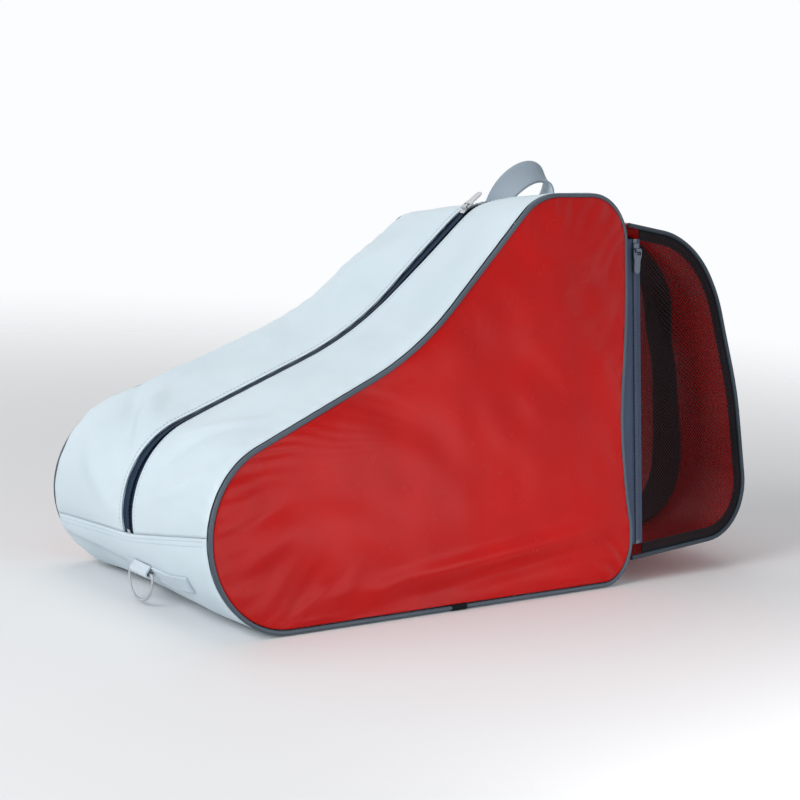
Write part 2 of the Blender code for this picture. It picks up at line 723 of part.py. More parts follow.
def add_pocket(seams):
    """Red band round the back, a net on each side with piping and a hem, and a strap down the band."""
    half = PVC_THICKNESS / 2.0
    end = seams.middle.end()
    first, last = STRAP_TOP_INSET, end - STRAP_FLOOR_INSET
    under_strap = seams.ribs(first, last)
    band = seams.ribs(0.0, first)[:-1] + under_strap + seams.ribs(last, end)[1:]
    strip("pocket_band", band, over_strap, -half, half, RED_PVC)
    top = -half - 2 * GAP
    strap = centred(STRAP_WIDTH / 2.0)
    strip("pocket_strap", under_strap, strap, top - WEBBING_THICKNESS, top, BLACK_WEBBING)
    for side, label in SIDES:
        path = seams.left if side < 0 else seams.right
        edge = BAG_LENGTH + SEAM_INSET
        if side < 0:
            edge += 2 * SIDE_TAPE_WIDTH + COIL_WIDTH + 3 * GAP
        first = path.find(0, edge, 0.0, path.mark("top_back_start"))
        last = path.find(0, edge, path.mark("floor_back_end"), path.end())
        around = path.cut(first, last)
        border = inset_points(around, SEAM_INSET, edge)
        inner = inset_points(around, SEAM_INSET + HEM_WIDTH, edge)
        net = [border] + net_gaps(inner)
        side_sheet("pocket_net_" + label, side, net, NET_THICKNESS, 0.0, DARK_NET)
        hem_depth = NET_THICKNESS / 2.0 + GAP + TAPE_THICKNESS / 2.0
        hem = border + inner[::-1]
        side_sheet("pocket_hem_" + label, side, [hem], TAPE_THICKNESS, hem_depth, BLACK_WEBBING)
        seam = [on_side(side, p) for p in path.points]
        cord("pocket_piping_" + label, seam, PIPING_RADIUS, False, SLATE_PIPING)


def add_side_zip():
    """Zip on the left heel seam: a tape on the bag, a tape on the net, the coil and a parked slider."""
    low = POCKET_BOTTOM + SIDE_ZIP_MARGIN
    high = POCKET_TOP - SIDE_ZIP_MARGIN
    x0 = BAG_LENGTH + SEAM_INSET
    x1 = x0 + SIDE_TAPE_WIDTH
    x2 = x1 + GAP
    x3 = x2 + COIL_WIDTH
    x4 = x3 + GAP
    x5 = x4 + SIDE_TAPE_WIDTH
    for name, a, b in (("side_zip_tape_bag", x0, x1), ("side_zip_tape_net", x4, x5)):
        corners = [Vector((a, low)), Vector((b, low)), Vector((b, high)), Vector((a, high))]
        side_sheet(name, -1, [corners], TAPE_THICKNESS, 0.0, BLUE_TAPE)

    middle_x = 0.5 * (x2 + x3)
    bottom, top = low + STOP_LENGTH + GAP, high - STOP_LENGTH - GAP
    count = int((top - bottom) / (COIL_PITCH / 2.0))
    rows = [(bottom + (top - bottom) * k / count, (COIL_WIDTH if k % 2 else COIL_ROOT_WIDTH) / 2.0)
            for k in range(count + 1)]
    teeth = [Vector((middle_x + w, z)) for z, w in rows] + [Vector((middle_x - w, z)) for z, w in rows[::-1]]
    side_sheet("side_zip_coil", -1, [teeth], COIL_HEIGHT, 0.0, BLUE_TAPE)
    for name, z in (("side_zip_bottom_stop", low), ("side_zip_top_stop", high - STOP_LENGTH)):
        end = z + STOP_LENGTH
        corners = [Vector((x2, z)), Vector((x3, z)), Vector((x3, end)), Vector((x2, end))]
        side_sheet(name, -1, [corners], COIL_HEIGHT, 0.0, BRIGHT_METAL)

    outward = side_axes(-1)[2]
    travel = Vector((0.0, LEAN_Z, 1.0)).normalized()
    across = outward.cross(travel)
    park = Vector((middle_x, top - SLIDER_LENGTH / 2.0 - GAP))
    origin = on_side(-1, park) + outward * (COIL_HEIGHT / 2.0 + GAP)
    add_slider("side_zip_slider", origin, travel, outward)
    droop = math.radians(SIDE_PULL_DROOP)
    hang = travel * -math.cos(droop) - outward * math.sin(droop)
    add_pull("side_zip_pull", origin + outward * BRIDGE_RISE, hang, across)


def main():
    for obj in list(bpy.data.objects):
        bpy.data.objects.remove(obj, do_unlink=True)
    bpy.context.scene.collection.children.link(bpy.data.collections.new(COLLECTION))
    left = bag_outline(BAG_HEIGHT, LEFT_CREST_RADIUS)
    right = bag_outline(BAG_HEIGHT - CROWN_FALL, RIGHT_CREST_RADIUS)
    seams = Seams(left, right)
    zip_top = seams.middle.mark("crest_start") + ZIP_PAST_SHIN
    add_side_panels(seams)
    seam = add_gusset(seams, zip_top)
    ride_height = add_main_zip(seams, seam, zip_top)
    add_main_slider(seams, ride_height)
    handle_end = add_handle(seams)
    add_rings(seams, handle_end)
    add_pocket(Seams(pocket_outline(POCKET_TOP), pocket_outline(POCKET_TOP - CROWN_FALL)))
    add_side_zip()


main()
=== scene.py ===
"""Looks of the skate bag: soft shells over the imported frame, studio light and the photograph's camera.

Side-view points are (x, z) pairs with x measured from the nose, as in the part's source.
Left and right seam lines have matching points. Sheets are ruled between them, placed by the distance s
along their middle and by y across the bag, and then swollen and creased along their normals.
"""

import json
import math

import bpy
import numpy as np
from mathutils import Matrix, Vector


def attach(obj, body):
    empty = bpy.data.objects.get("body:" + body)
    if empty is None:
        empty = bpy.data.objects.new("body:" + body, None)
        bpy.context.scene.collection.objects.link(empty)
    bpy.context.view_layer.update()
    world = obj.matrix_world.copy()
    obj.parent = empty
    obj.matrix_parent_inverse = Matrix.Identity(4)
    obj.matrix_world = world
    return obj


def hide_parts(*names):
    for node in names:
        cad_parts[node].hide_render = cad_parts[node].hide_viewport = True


# Seam lines of the bag's two sides
LENGTH = 0.437
LEFT_HEIGHT = 0.332
CROWN_FALL = 0.033
NOSE_RADIUS = 0.073
TOE_SLOPE = math.radians(22.4)
SHIN_SLOPE = math.radians(43.3)
LEFT_CROWN_LENGTH = 0.102
BEND_RADIUS = 0.280
LEFT_CREST_RADIUS = 0.060
RIGHT_CREST_RADIUS = 0.012
HEEL_TOP_RADIUS = 0.040
HEEL_BOTTOM_RADIUS = 0.031
NOSE_TO_ORIGIN = 0.250
WIDTH_NOSE = 0.266
WIDTH_HEEL = 0.213
WIDTH_TOP = 0.120

# Sheets, tapes and fittings
PVC = 0.0016
TAPE = 0.0007
WEBBING = 0.0014
PIPING_RADIUS = 0.0025
CORD_RADIUS = 0.0019
CORD_SINK = 0.0012
CORD_SINK_REACH = 0.020
GAP = 0.0003
SEAM_HEIGHT = 0.056
ZIP_PAST_SHIN = 0.030
ZIP_TAPE_EDGE = 0.013
COIL_WIDTH = 0.0044
WEBBING_WIDTH = 0.026
HANDLE_TO_HEEL = 0.040
HANDLE_SPAN = 0.050
HANDLE_RISE = 0.0268
HANDLE_FOOT = 0.010
HANDLE_FRONT_LEAN = 0.022
HANDLE_REAR_LEAN = 0.0125
HANDLE_TWIST = math.radians(52.0)
TAB_WIDTH = 0.026
TAB_WALL = 0.0014
TAB_BORE = 0.0042
TAB_STEM = 0.0052
TAB_FOOT = 0.010
NOSE_TAB_X = 0.015
NOSE_TAB_Y = -0.008
CROWN_TAB_CLEARANCE = 0.003
TAB_OVERTURN = 0.12
PIPING_JOIN_START = 0.234
PIPING_JOIN_END = 0.249

# Pocket behind the heel; each corner's arc takes a share of the shorter side next to it
POCKET_TOP = 0.306
POCKET_BOTTOM = 0.022
POCKET_TOP_DEPTH = 0.081
POCKET_TOP_FALL = 0.0125
POCKET_TOP_ROUNDING = 0.448
POCKET_BACK_DEPTH = 0.135
POCKET_BACK_HEIGHT = 0.1745
POCKET_BACK_ROUNDING = 0.302
POCKET_FLOOR_DEPTH = 0.151
POCKET_FLOOR_RISE = 0.011
POCKET_FLOOR_ROUNDING = 0.361
HEM_WIDTH = 0.0078
STRAP_LEFT = -0.013
STRAP_RIGHT = 0.020
STRAP_SLACK = 0.014
STRAP_TOP_INSET = 0.020
STRAP_FLOOR_INSET = 0.045
SIDE_TAPE_WIDTH = 0.0040
SIDE_ZIP_MARGIN = 0.012
MESH_PITCH = 0.0024
MESH_STRAND = 0.00036

# How far the cloth swells, dents, puckers and folds, and how far each of these reaches.
# A pair holds a place and a reach. A fold holds its height, start, stop and width. Folds of the toe are placed by
# the distance past the cross seam and by y, and the others by side-view points.
SEAM_REACH = 0.018
ZIP_REACH = 0.024
SEWN_SHARE = 0.6
FOOT_REACH = 0.012
RIDGE_TAPER = 0.45
DRIFT_WAVES = 7
DRIFT_PITCH = (1.3, 2.6)
GUSSET_SEEDS = (1, 2, 3)
POCKET_SEEDS = (4, 5)
PANEL_SEEDS = (7, 9, 11)
GUSSET_BULGE = 0.0030
FAR_BULGE = 0.0115
FAR_BULGE_ALONG = (0.072, 0.052)
FAR_BULGE_ACROSS = (0.032, 0.030)
NOSE_BULGE = 0.0060
NOSE_BULGE_ACROSS = (0.022, 0.020)
NOSE_BULGE_REACH = 0.020
DENT = 0.0026
DENT_SIZE = 0.055
FINE_DENT = 0.0008
FINE_DENT_SIZE = 0.024
PUCKER = 0.0006
PUCKER_PITCH = 0.019
PUCKER_REACH = 0.011
PUCKER_EDGE = 0.002
PUCKER_WANDER = 1.6
PUCKER_WANDER_SIZE = 0.030
CREASE_DEPTH = 0.0070
CREASE_DROP = 0.014
CREASE_SLOPE = 0.17
CREASE_HIGH_Y = 0.11
CREASE_REACH = 0.030
CREASE_EDGE = 0.006
CREASE_START_Y = 0.014
CREASE_START_REACH = 0.022
CREASE_END_REACH = 0.012
TOE_FOLDS = (
    (-0.0085, (0.046, 0.004), (0.130, 0.105), 0.0080),
    (0.0060, (0.068, 0.004), (0.150, 0.095), 0.0090),
    (0.0045, (0.012, 0.020), (0.075, 0.095), 0.0080),
    (-0.0055, (0.045, -0.020), (0.105, -0.060), 0.0075),
    (0.0050, (0.020, -0.030), (0.062, -0.105), 0.0090),
    (0.0045, (0.080, -0.030), (0.150, -0.085), 0.0100),
    (-0.0040, (0.060, -0.055), (0.085, -0.110), 0.0070),
    (-0.0045, (0.210, 0.020), (0.300, 0.085), 0.0120),
    (0.0045, (0.250, 0.015), (0.345, 0.075), 0.0120),
)
PANEL_FOLDS = (
    (0.0055, (0.140, 0.026), (0.430, 0.056), 0.0075),
    (-0.0038, (0.180, 0.014), (0.430, 0.040), 0.0075),
    (0.0026, (0.105, 0.010), (0.132, 0.042), 0.0050),
    (0.0024, (0.050, 0.024), (0.074, 0.056), 0.0050),
    (-0.0022, (0.072, 0.014), (0.100, 0.050), 0.0055),
    (0.0024, (0.024, 0.050), (0.070, 0.078), 0.0060),
    (-0.0022, (0.014, 0.078), (0.070, 0.100), 0.0065),
    (0.0022, (0.150, 0.012), (0.185, 0.036), 0.0050),
    (0.0022, (0.428, 0.290), (0.350, 0.275), 0.0060),
    (-0.0020, (0.430, 0.268), (0.365, 0.250), 0.0060),
    (0.0022, (0.430, 0.246), (0.370, 0.222), 0.0060),
    (0.0020, (0.430, 0.200), (0.385, 0.182), 0.0060),
)
NEAR_ROLL = 0.0018
FAR_ROLL = 0.0050
FAR_ROLL_DROP = 0.85
FAR_ROLL_DROP_START = 0.032
FAR_ROLL_DROP_REACH = 0.026
NEAR_ROLL_REACH = 0.035
FAR_ROLL_REACH = 0.040
ROLL_EDGE = 0.003
SEAM_ROLL_CUT = 0.6
SEAM_ROLL_REACH = 0.006
CROWN_ROLL_CUT = 0.7
CROWN_ROLL_START = -0.010
CROWN_ROLL_FADE = 0.020
HEEL_ROLL_REACH = 0.012
SEAM_CLIMB_LEFT = 0.20
SEAM_CLIMB_RIGHT = 0.08
SEAM_CLIMB_REACH = 0.055
LIP_NOSE = 0.0085
LIP_SHIN = 0.0044
LIP_TOP = 0.0068
LIP_CLOSE_START = 0.030
LIP_CLOSE_LENGTH = 0.110
LIP_RISE_START = -0.030
LIP_RISE_LENGTH = 0.080
LIP_DIP = 0.00025
LIP_DIP_REACH = 0.004
LIP_PUCKER = 0.7
LIP_EDGE = 0.003
PANEL_BULGE = 0.0060
PANEL_REACH = 0.045
PANEL_EDGE = 0.008
PANEL_DENT = 0.55 * DENT
PANEL_FINE_DENT = 0.6 * FINE_DENT
PANEL_FINE_DENT_SIZE = 0.022
PANEL_PUCKER = 0.4 * PUCKER
PANEL_END_PUCKER = 1.6 * PUCKER
PANEL_PUCKER_REACH = 1.8 * PUCKER_REACH
PANEL_PUCKER_EDGE = 0.003
HEEL_PUCKER = (LENGTH, 0.06)
NOSE_PUCKER = (0.0, 0.07)
BASE_PUCKER = (0.0, 0.04)
RING_SPACING = 1.25
HEEL_BOW_IN = 0.0068
HEEL_BOW_IN_PLACE = (0.140, 0.060)
HEEL_BOW_OUT = 0.0034
HEEL_BOW_OUT_PLACE = (0.045, 0.022)
POCKET_BULGE = 0.0025
POCKET_DENT_SIZE = 0.050
POCKET_PUFF = 0.0075
POCKET_PUFF_EDGE = 0.004
POCKET_PUFF_END = 0.006
POCKET_PUFF_TOP = 0.035
POCKET_PUFF_FLOOR = 0.075
POCKET_BOW = 0.0080
POCKET_BOW_DROP = 0.061
POCKET_BOW_REACH = 0.036
POCKET_BOW_START = 0.050
POCKET_BOW_FADE = 0.030
NET_FOLDS = ((-0.0080, (0.460, 0.285), (0.528, 0.140), 0.0070),)
NET_SAG = 0.0030
NET_SAG_REACH = 0.040
NET_EDGE = 0.012

# Webbing that runs from the nose ring towards the left side
NOSE_STRIP_END = -0.085
NOSE_STRIP_WIDTH = 0.012
NOSE_STRIP_DROP = 0.006

# Stitches, each made of rings placed and sized by shares
STITCH_PITCH = 0.0034
STITCH_LENGTH = 0.0024
STITCH_RADIUS = 0.00032
STITCH_LIFT = 0.6
STITCH_PLACES = np.array([0.0, 0.18, 0.82, 1.0])
STITCH_SIZES = (0.35, 1.0, 1.0, 0.35)
STITCH_SIDES = 5
SEAM_ROW_DROPS = (0.0025, 0.0060)
SEAM_ROW_MARGIN = 0.01
LIP_ROW_START = 0.002
LIP_ROW_INSET = 0.0028
CROWN_ROW_INSET = 0.003
CROWN_ROW_MARGIN = 0.02
HANDLE_ROW_INSET = 0.003
STRIP_ROW_INSET = 0.002
STRIP_ROW_SHARE = 0.8
HEM_ROW_SHARE = 0.7

# Steps of the fine meshes
ARC_STEPS = 16
STRAIGHT_STEPS = 26
ALONG_STEP = 0.003
CROSS_STEPS = 60
FIND_STEPS = 4000
FOOT_STEPS = 7
LOOP_STEPS = 60
WEBBING_STEPS = 13
TAB_STEPS = 11
TAB_FOLD_STEPS = 30
TAPE_STEPS = 5
ZIP_TAPE_STEPS = 7
SIDE_ZIP_STEPS = 120
STRIP_STEPS = 40
STRIP_CROSS_STEPS = 9
STRIP_END_STEPS = 12
SEAM_ROW_STEPS = 120
LIP_ROW_STEPS = 300
CROWN_ROW_STEPS = 80
FOOT_ROW_STEPS = 20
JOIN_STEPS = 6
CORD_RESOLUTION = 4
PANEL_RINGS = 60
PANEL_CENTRE = np.array([0.27, 0.13])

# Camera fitted to the photograph, which is 800 pixels square
CAMERA_PLACE = (-1.09302, -1.48006, 0.46361)
CAMERA_YAW = math.radians(36.609)
CAMERA_PITCH = math.radians(9.633)
CAMERA_ROLL = math.radians(3.927)
CAMERA_FOCAL_PIXELS = 2221.3
PHOTO_PIXELS = 800.0
SENSOR_WIDTH = 36.0

# Floor, lights (name, place, target, size, power) and surroundings
FLOOR_COLOUR = (0.80, 0.81, 0.82)
FLOOR_ROUGHNESS = (0.75, 0.85)
FLOOR_SCALE = 3.0
FLOOR_REACH = 9.0
FLOOR_CLEAR = 0.45
FLOOR_FADE = 1.9
BAG_MIDDLE = (0.0, 0.0, 0.15)
LIGHTS = (
    ("key", (-2.1, -0.5, 1.3), BAG_MIDDLE, 1.1, 35.0),
    ("low_rear", (0.25, -0.62, 0.07), (0.10, 0.0, 0.03), 0.3, 1.1),
    ("low_front", (-0.10, -0.66, 0.07), (-0.10, 0.0, 0.03), 0.3, 0.8),
    ("top", (0.1, 0.5, 2.2), BAG_MIDDLE, 1.8, 12.0),
)
WORLD_COLOUR = (0.97, 0.98, 1.0, 1.0)
WORLD_LIGHT = 0.36

# Weaves: pitch and depth of the threads, depth of soft dents, coordinates, turn in the cloth's flat plane
DIAGONAL = math.pi / 4.0
COATED = (0.0008, 0.0001, 0.0006, "UV", 0.0)
SMOOTH_COATED = (0.0008, 0.0001, 0.0005, "UV", 0.0)
WEBBED = (0.0014, 0.0004, 0.0003, "UV", DIAGONAL)
FLAT_WEBBED = (0.0014, 0.0003, 0.0003, "UV", DIAGONAL)
TAPED = (0.0009, 0.0002, 0.0002, "UV", 0.0)
CORDED = (0.0012, 0.0002, 0.0003, "Object", 0.0)
KNITTED = (0.0004, 0.0001, 0.0002, "Object", 0.0)
NYLON = (0.0006, 0.0001, 0.0001, "Object", 0.0)

# Cloths by slot: end of the name, dark and light colour, roughness, weave, gloss.
# The handle's upper face has a darker grey-blue copy of the silver webbing, partly its own tone and partly painted
# shade, and the pocket's cord has a finish of its own.
CLOTHS = {
    "red_pvc": ("cloth", (0.41, 0.003, 0.003), (0.50, 0.005, 0.004), 0.24, COATED, 0.14),
    "silver_pvc": ("cloth", (0.57, 0.68, 0.74), (0.63, 0.735, 0.795), 0.38, SMOOTH_COATED, 0.5),
    "silver_webbing": ("weave", (0.48, 0.57, 0.64), (0.62, 0.70, 0.77), 0.75, WEBBED, 0.5),
    # Handle's upper face: grey-blue webbing whose darkness is partly painted shade
    "grey_webbing_and_shade": ("weave", (0.24, 0.31, 0.37), (0.35, 0.42, 0.49), 0.75, WEBBED, 0.5),
    "slate_piping": ("cord", (0.044, 0.066, 0.088), (0.070, 0.098, 0.128), 0.50, CORDED, 0.4),
    "pocket_piping": ("cord", (0.014, 0.024, 0.036), (0.030, 0.045, 0.062), 0.50, CORDED, 0.3),
    "dark_net": ("yarn", (0.020, 0.007, 0.008), (0.045, 0.016, 0.018), 0.65, KNITTED, 0.12),
    "black_webbing": ("weave", (0.003, 0.004, 0.006), (0.008, 0.009, 0.012), 0.80, FLAT_WEBBED, 0.15),
    "grey_lining": ("cloth", (0.07, 0.08, 0.10), (0.10, 0.12, 0.14), 0.70, COATED, 0.5),
    "navy_tape": ("weave", (0.009, 0.022, 0.046), (0.015, 0.033, 0.066), 0.65, TAPED, 0.12),
    "navy_coil": ("nylon", (0.007, 0.017, 0.036), (0.013, 0.027, 0.052), 0.50, NYLON, 0.12),
    "blue_tape": ("weave", (0.034, 0.050, 0.092), (0.052, 0.076, 0.128), 0.68, TAPED, 0.3),
    "blue_coil": ("nylon", (0.030, 0.045, 0.082), (0.048, 0.068, 0.115), 0.48, NYLON, 0.3),
}
CLOTH_COLOUR_SCALE = 11.0
CLOTH_GLOSS_SCALE = 40.0
CLOTH_DENT_SCALE = 45.0
CLOTH_DENT_DETAIL = 2.0
CLOTH_DENT_STRENGTH = 0.4
CLOTH_WEAVE_STRENGTH = 0.6
CLOTH_ROUGHNESS = (-0.06, 0.08)
COLOUR_STOPS = (0.3, 0.7)
WEAVE_DISTORTION = 0.4
WAVE_TURN = 20.0
NOISE_DETAIL = 3.0

# Metals by slot: colour and roughness. The side zip's metal is darker than its slot.
METALS = {
    "bright_metal": ((0.58, 0.59, 0.60), 0.20),
    "dark_metal": ((0.13, 0.15, 0.19), 0.34),
}
SCUFF_SCALE = 900.0
SCUFF_DETAIL = 5.0
SCUFF_STRENGTH = 0.15
SCUFF_DEPTH = 0.0001
SCUFF_ROUGHNESS = (-0.06, 0.12)

SEAM_INSET = PIPING_RADIUS + GAP
LEAN_X = (WIDTH_NOSE - WIDTH_HEEL) / (2.0 * LENGTH)
LEAN_Z = (WIDTH_HEEL - WIDTH_TOP) / (2.0 * LEFT_HEIGHT)
TURN = 2.0 * math.pi


def unit(vectors):
    return vectors / np.linalg.norm(vectors, axis=-1, keepdims=True)


def ease(distance, reach):
    """Rise from 0 at an edge to 1 well away from it."""
    return 1.0 - np.exp(-np.maximum(distance, 0.0) / reach)


def hump(value, centre, width):
    """Soft rise to 1 round a centre."""
    return np.exp(-((value - centre) / width) ** 2)


def ramp(value, start, length):
    """Straight rise from 0 at a start to 1 a length further on."""
    return np.clip((value - start) / length, 0.0, 1.0)


def smooth(value, start, length):
    """Rise like a ramp, level at both ends."""
    share = ramp(value, start, length)
    return share * share * (3.0 - 2.0 * share)


def beside(distance, reach, edge):
    """Share that is 0 on a seam, rises within an edge and falls off over a reach."""
    return np.exp(-np.maximum(distance, 0.0) / reach) * ease(distance, edge)


def ridge(a, b, start, stop, width):
    """Straight soft ridge of unit height between two places in a flat plane of coordinates a and b."""
    way_a, way_b = stop[0] - start[0], stop[1] - start[1]
    length = math.hypot(way_a, way_b)
    share = ((a - start[0]) * way_a + (b - start[1]) * way_b) / length ** 2
    off = ((b - start[1]) * way_a - (a - start[0]) * way_b) / length
    return hump(off, 0.0, width) * hump(share, 0.5, RIDGE_TAPER)


def folded(folds, a, b):
    """Height of all the folds of a table."""
    return sum(height * ridge(a, b, start, stop, width) for height, start, stop, width in folds)


def drift(points, size, seed):
    """Smooth wander of about one unit over points, with swells of a given size."""
    chance = np.random.default_rng(seed)
    total = np.zeros(points.shape[:-1])
    for _ in range(DRIFT_WAVES):
        way = unit(chance.normal(size=points.shape[-1]))
        pitch = size * chance.uniform(*DRIFT_PITCH)
        total += np.sin(points @ way * TURN / pitch + chance.uniform(0.0, TURN))
    return total / math.sqrt(DRIFT_WAVES)


def pucker_wave(along, points, seed):
    """Uneven row of small folds along a seam."""
    return np.sin(TURN * along / PUCKER_PITCH + PUCKER_WANDER * drift(points, PUCKER_WANDER_SIZE, seed))


def pucker_edges(left, right):
    """Share of the puckers beside two pipings."""
    return beside(left, PUCKER_REACH, PUCKER_EDGE) + beside(right, PUCKER_REACH, PUCKER_EDGE)


def arc(corner, before, after, radius):
    """Points that round a corner between two straight lines."""
    d1, d2 = unit(before - corner), unit(after - corner)
    half = 0.5 * math.acos(np.clip(d1 @ d2, -1.0, 1.0))
    centre = corner + unit(d1 + d2) * radius / math.sin(half)
    start = corner + d1 * radius / math.tan(half) - centre
    stop = corner + d2 * radius / math.tan(half) - centre
    sweep = math.copysign(math.pi - 2.0 * half, start[0] * stop[1] - start[1] * stop[0])
    turns = sweep * np.linspace(0.0, 1.0, ARC_STEPS + 1)
    x = np.cos(turns) * start[0] - np.sin(turns) * start[1]
    z = np.sin(turns) * start[0] + np.cos(turns) * start[1]
    return centre + np.stack([x, z], -1)


def straight(start, stop):
    """Points between two ends, none where the ends meet."""
    if np.linalg.norm(stop - start) < GAP:
        return np.empty((0, 2))
    share = np.linspace(0.0, 1.0, STRAIGHT_STEPS + 1)[1:-1, None]
    return start * (1.0 - share) + stop * share


def rounded(corners, closed):
    """Polyline through named corners (name, x, z, radius), and the index of each arc's ends."""
    points, marks = [], {}
    places = [np.array(corner[1:3]) for corner in corners]
    for i, (name, _, _, radius) in enumerate(corners):
        piece = places[i][None]
        if radius > 0.0:
            piece = arc(places[i], places[i - 1], places[(i + 1) % len(corners)], radius)
        if points:
            points.extend(straight(points[-1], piece[0]))
            if np.linalg.norm(points[-1] - piece[0]) < GAP:
                points.pop()
        marks[name + "_start"] = len(points)
        points.extend(piece)
        marks[name + "_end"] = len(points) - 1
    if closed:
        points.extend(straight(points[-1], points[0]))
        points.append(points[0])
    return np.array(points), marks


def bag_seam(height, crest_radius):
    """Closed seam line of one side, from the heel's foot round the nose and back over the crown."""
    floor = PIPING_RADIUS
    touch_x = NOSE_RADIUS * (1.0 - math.sin(TOE_SLOPE))
    touch_z = floor + NOSE_RADIUS * (1.0 + math.cos(TOE_SLOPE))
    nose_z = touch_z - touch_x * math.tan(TOE_SLOPE)
    crest_x = LENGTH - LEFT_CROWN_LENGTH - (LEFT_HEIGHT - height) / math.tan(SHIN_SLOPE)
    run = height - nose_z - crest_x * math.tan(SHIN_SLOPE)
    bend_x = run / (math.tan(TOE_SLOPE) - math.tan(SHIN_SLOPE))
    corners = [
        ("heel_foot", LENGTH, floor, HEEL_BOTTOM_RADIUS),
        ("nose_foot", 0.0, floor, NOSE_RADIUS),
        ("nose_top", 0.0, nose_z, NOSE_RADIUS),
        ("bend", bend_x, nose_z + bend_x * math.tan(TOE_SLOPE), BEND_RADIUS),
        ("crest", crest_x, height, crest_radius),
        ("heel_top", LENGTH, height, HEEL_TOP_RADIUS),
    ]
    return rounded(corners, closed=True)


def heel_bow(z):
    """Shift of the bowed heel seam at a height."""
    return HEEL_BOW_OUT * hump(z, *HEEL_BOW_OUT_PLACE) - HEEL_BOW_IN * hump(z, *HEEL_BOW_IN_PLACE)


def bowed_heel(seam):
    """Seam line whose heel stretch waves in and out."""
    x, z = seam[:, 0], seam[:, 1]
    near_heel = ramp(x, LENGTH - HEEL_BOTTOM_RADIUS, HEEL_BOTTOM_RADIUS)
    return np.stack([x + heel_bow(z) * near_heel ** 2, z], -1)


def pocket_seam(top):
    """Open seam line of one side of the pocket, from the top of the heel round the back to its foot."""
    start = LENGTH + SEAM_INSET
    places = [
        ("top", start, top, 0.0),
        ("top_back", LENGTH + POCKET_TOP_DEPTH, top - POCKET_TOP_FALL, POCKET_TOP_ROUNDING),
        ("back", LENGTH + POCKET_BACK_DEPTH, POCKET_BACK_HEIGHT, POCKET_BACK_ROUNDING),
        ("floor_back", LENGTH + POCKET_FLOOR_DEPTH, POCKET_BOTTOM + POCKET_FLOOR_RISE, POCKET_FLOOR_ROUNDING),
        ("floor", start, POCKET_BOTTOM, 0.0),
    ]
    corners = [places[0]]
    for before, (name, x, z, share), after in zip(places, places[1:], places[2:]):
        one = np.array(before[1:3]) - (x, z)
        two = np.array(after[1:3]) - (x, z)
        reach = share * min(np.linalg.norm(one), np.linalg.norm(two))
        corners.append((name, x, z, reach * math.tan(0.5 * math.acos(unit(one) @ unit(two)))))
    corners.append(places[-1])
    seam, marks = rounded(corners, closed=False)
    x, z = seam[:, 0], seam[:, 1]
    near_back = ramp(x, LENGTH + POCKET_BOW_START, POCKET_BOW_FADE)
    bow = POCKET_BOW * hump(z, top - POCKET_BOW_DROP, POCKET_BOW_REACH) * near_back
    return np.stack([x + bow, z], -1), marks


def half_width(points):
    """Distance of the flat side planes from the middle of the bag."""
    return WIDTH_NOSE / 2.0 - LEAN_X * points[..., 0] - LEAN_Z * points[..., 1]


def in_space(points, y):
    """World points of side-view points at a distance y across the bag."""
    x = points[..., 0] - NOSE_TO_ORIGIN
    return np.stack([x, np.broadcast_to(y, x.shape), points[..., 1]], -1)


def path_length(points):
    return np.concatenate([[0.0], np.cumsum(np.linalg.norm(np.diff(points, axis=0), axis=1))])


def steps(start, stop, step):
    """Values from start to stop, about a step apart, as a column."""
    return np.linspace(start, stop, max(3, math.ceil((stop - start) / step) + 1))[:, None]


class Ruled:
    """Sheet ruled between two seam lines with matching points, placed by s along its middle and by y."""

    def __init__(self, left, right, marks):
        self.left = left
        self.right = right
        self.marks = marks
        low = half_width(left)
        share = (low / (low + half_width(right)))[:, None]
        self.middle = left * (1.0 - share) + right * share
        self.length = path_length(self.middle)

    def mark(self, name):
        return self.length[self.marks[name]]

    def line(self, points, s):
        return np.stack([np.interp(s, self.length, points[:, k]) for k in range(2)], -1)

    def find(self, axis, value, s0, s1):
        """Distance along the middle where a coordinate passes a value."""
        s = np.linspace(s0, s1, FIND_STEPS)
        return s[np.argmin(np.abs(self.line(self.middle, s)[:, axis] - value))]

    def span(self, s):
        """Values of y beside the two pipings."""
        low = -half_width(self.line(self.left, s)) + SEAM_INSET
        high = half_width(self.line(self.right, s)) - SEAM_INSET
        return low, high

    def points(self, s, y):
        s, y = np.broadcast_arrays(s, y)
        left, right = self.line(self.left, s), self.line(self.right, s)
        low, high = -half_width(left), half_width(right)
        share = ((y - low) / (high - low))[..., None]
        return in_space(left * (1.0 - share) + right * share, y)

    def normal(self, s, y):
        """Outward unit normals."""
        step = 0.0005
        along = self.points(s + step, y) - self.points(s - step, y)
        across = self.points(s, y + step) - self.points(s, y - step)
        return unit(np.cross(along, across))

    def relief(self, s, y):
        """Height of the real cloth over the ruled sheet."""
        return np.zeros(np.broadcast_shapes(np.shape(s), np.shape(y)))

    def skin(self, s, y, offset=0.0):
        """Points of the real cloth, moved outward by an offset."""
        return self.points(s, y) + self.normal(s, y) * (self.relief(s, y) + offset)[..., None]

    def across(self, s, low=None, high=None):
        """Rows of y between two values, or between the pipings, closer at both ends."""
        y_low, y_high = self.span(s)
        first = y_low if low is None else low
        last = y_high if high is None else high
        turns = np.linspace(0.0, math.pi, CROSS_STEPS + 1)
        return first + (last - first) * (0.5 - 0.5 * np.cos(turns))


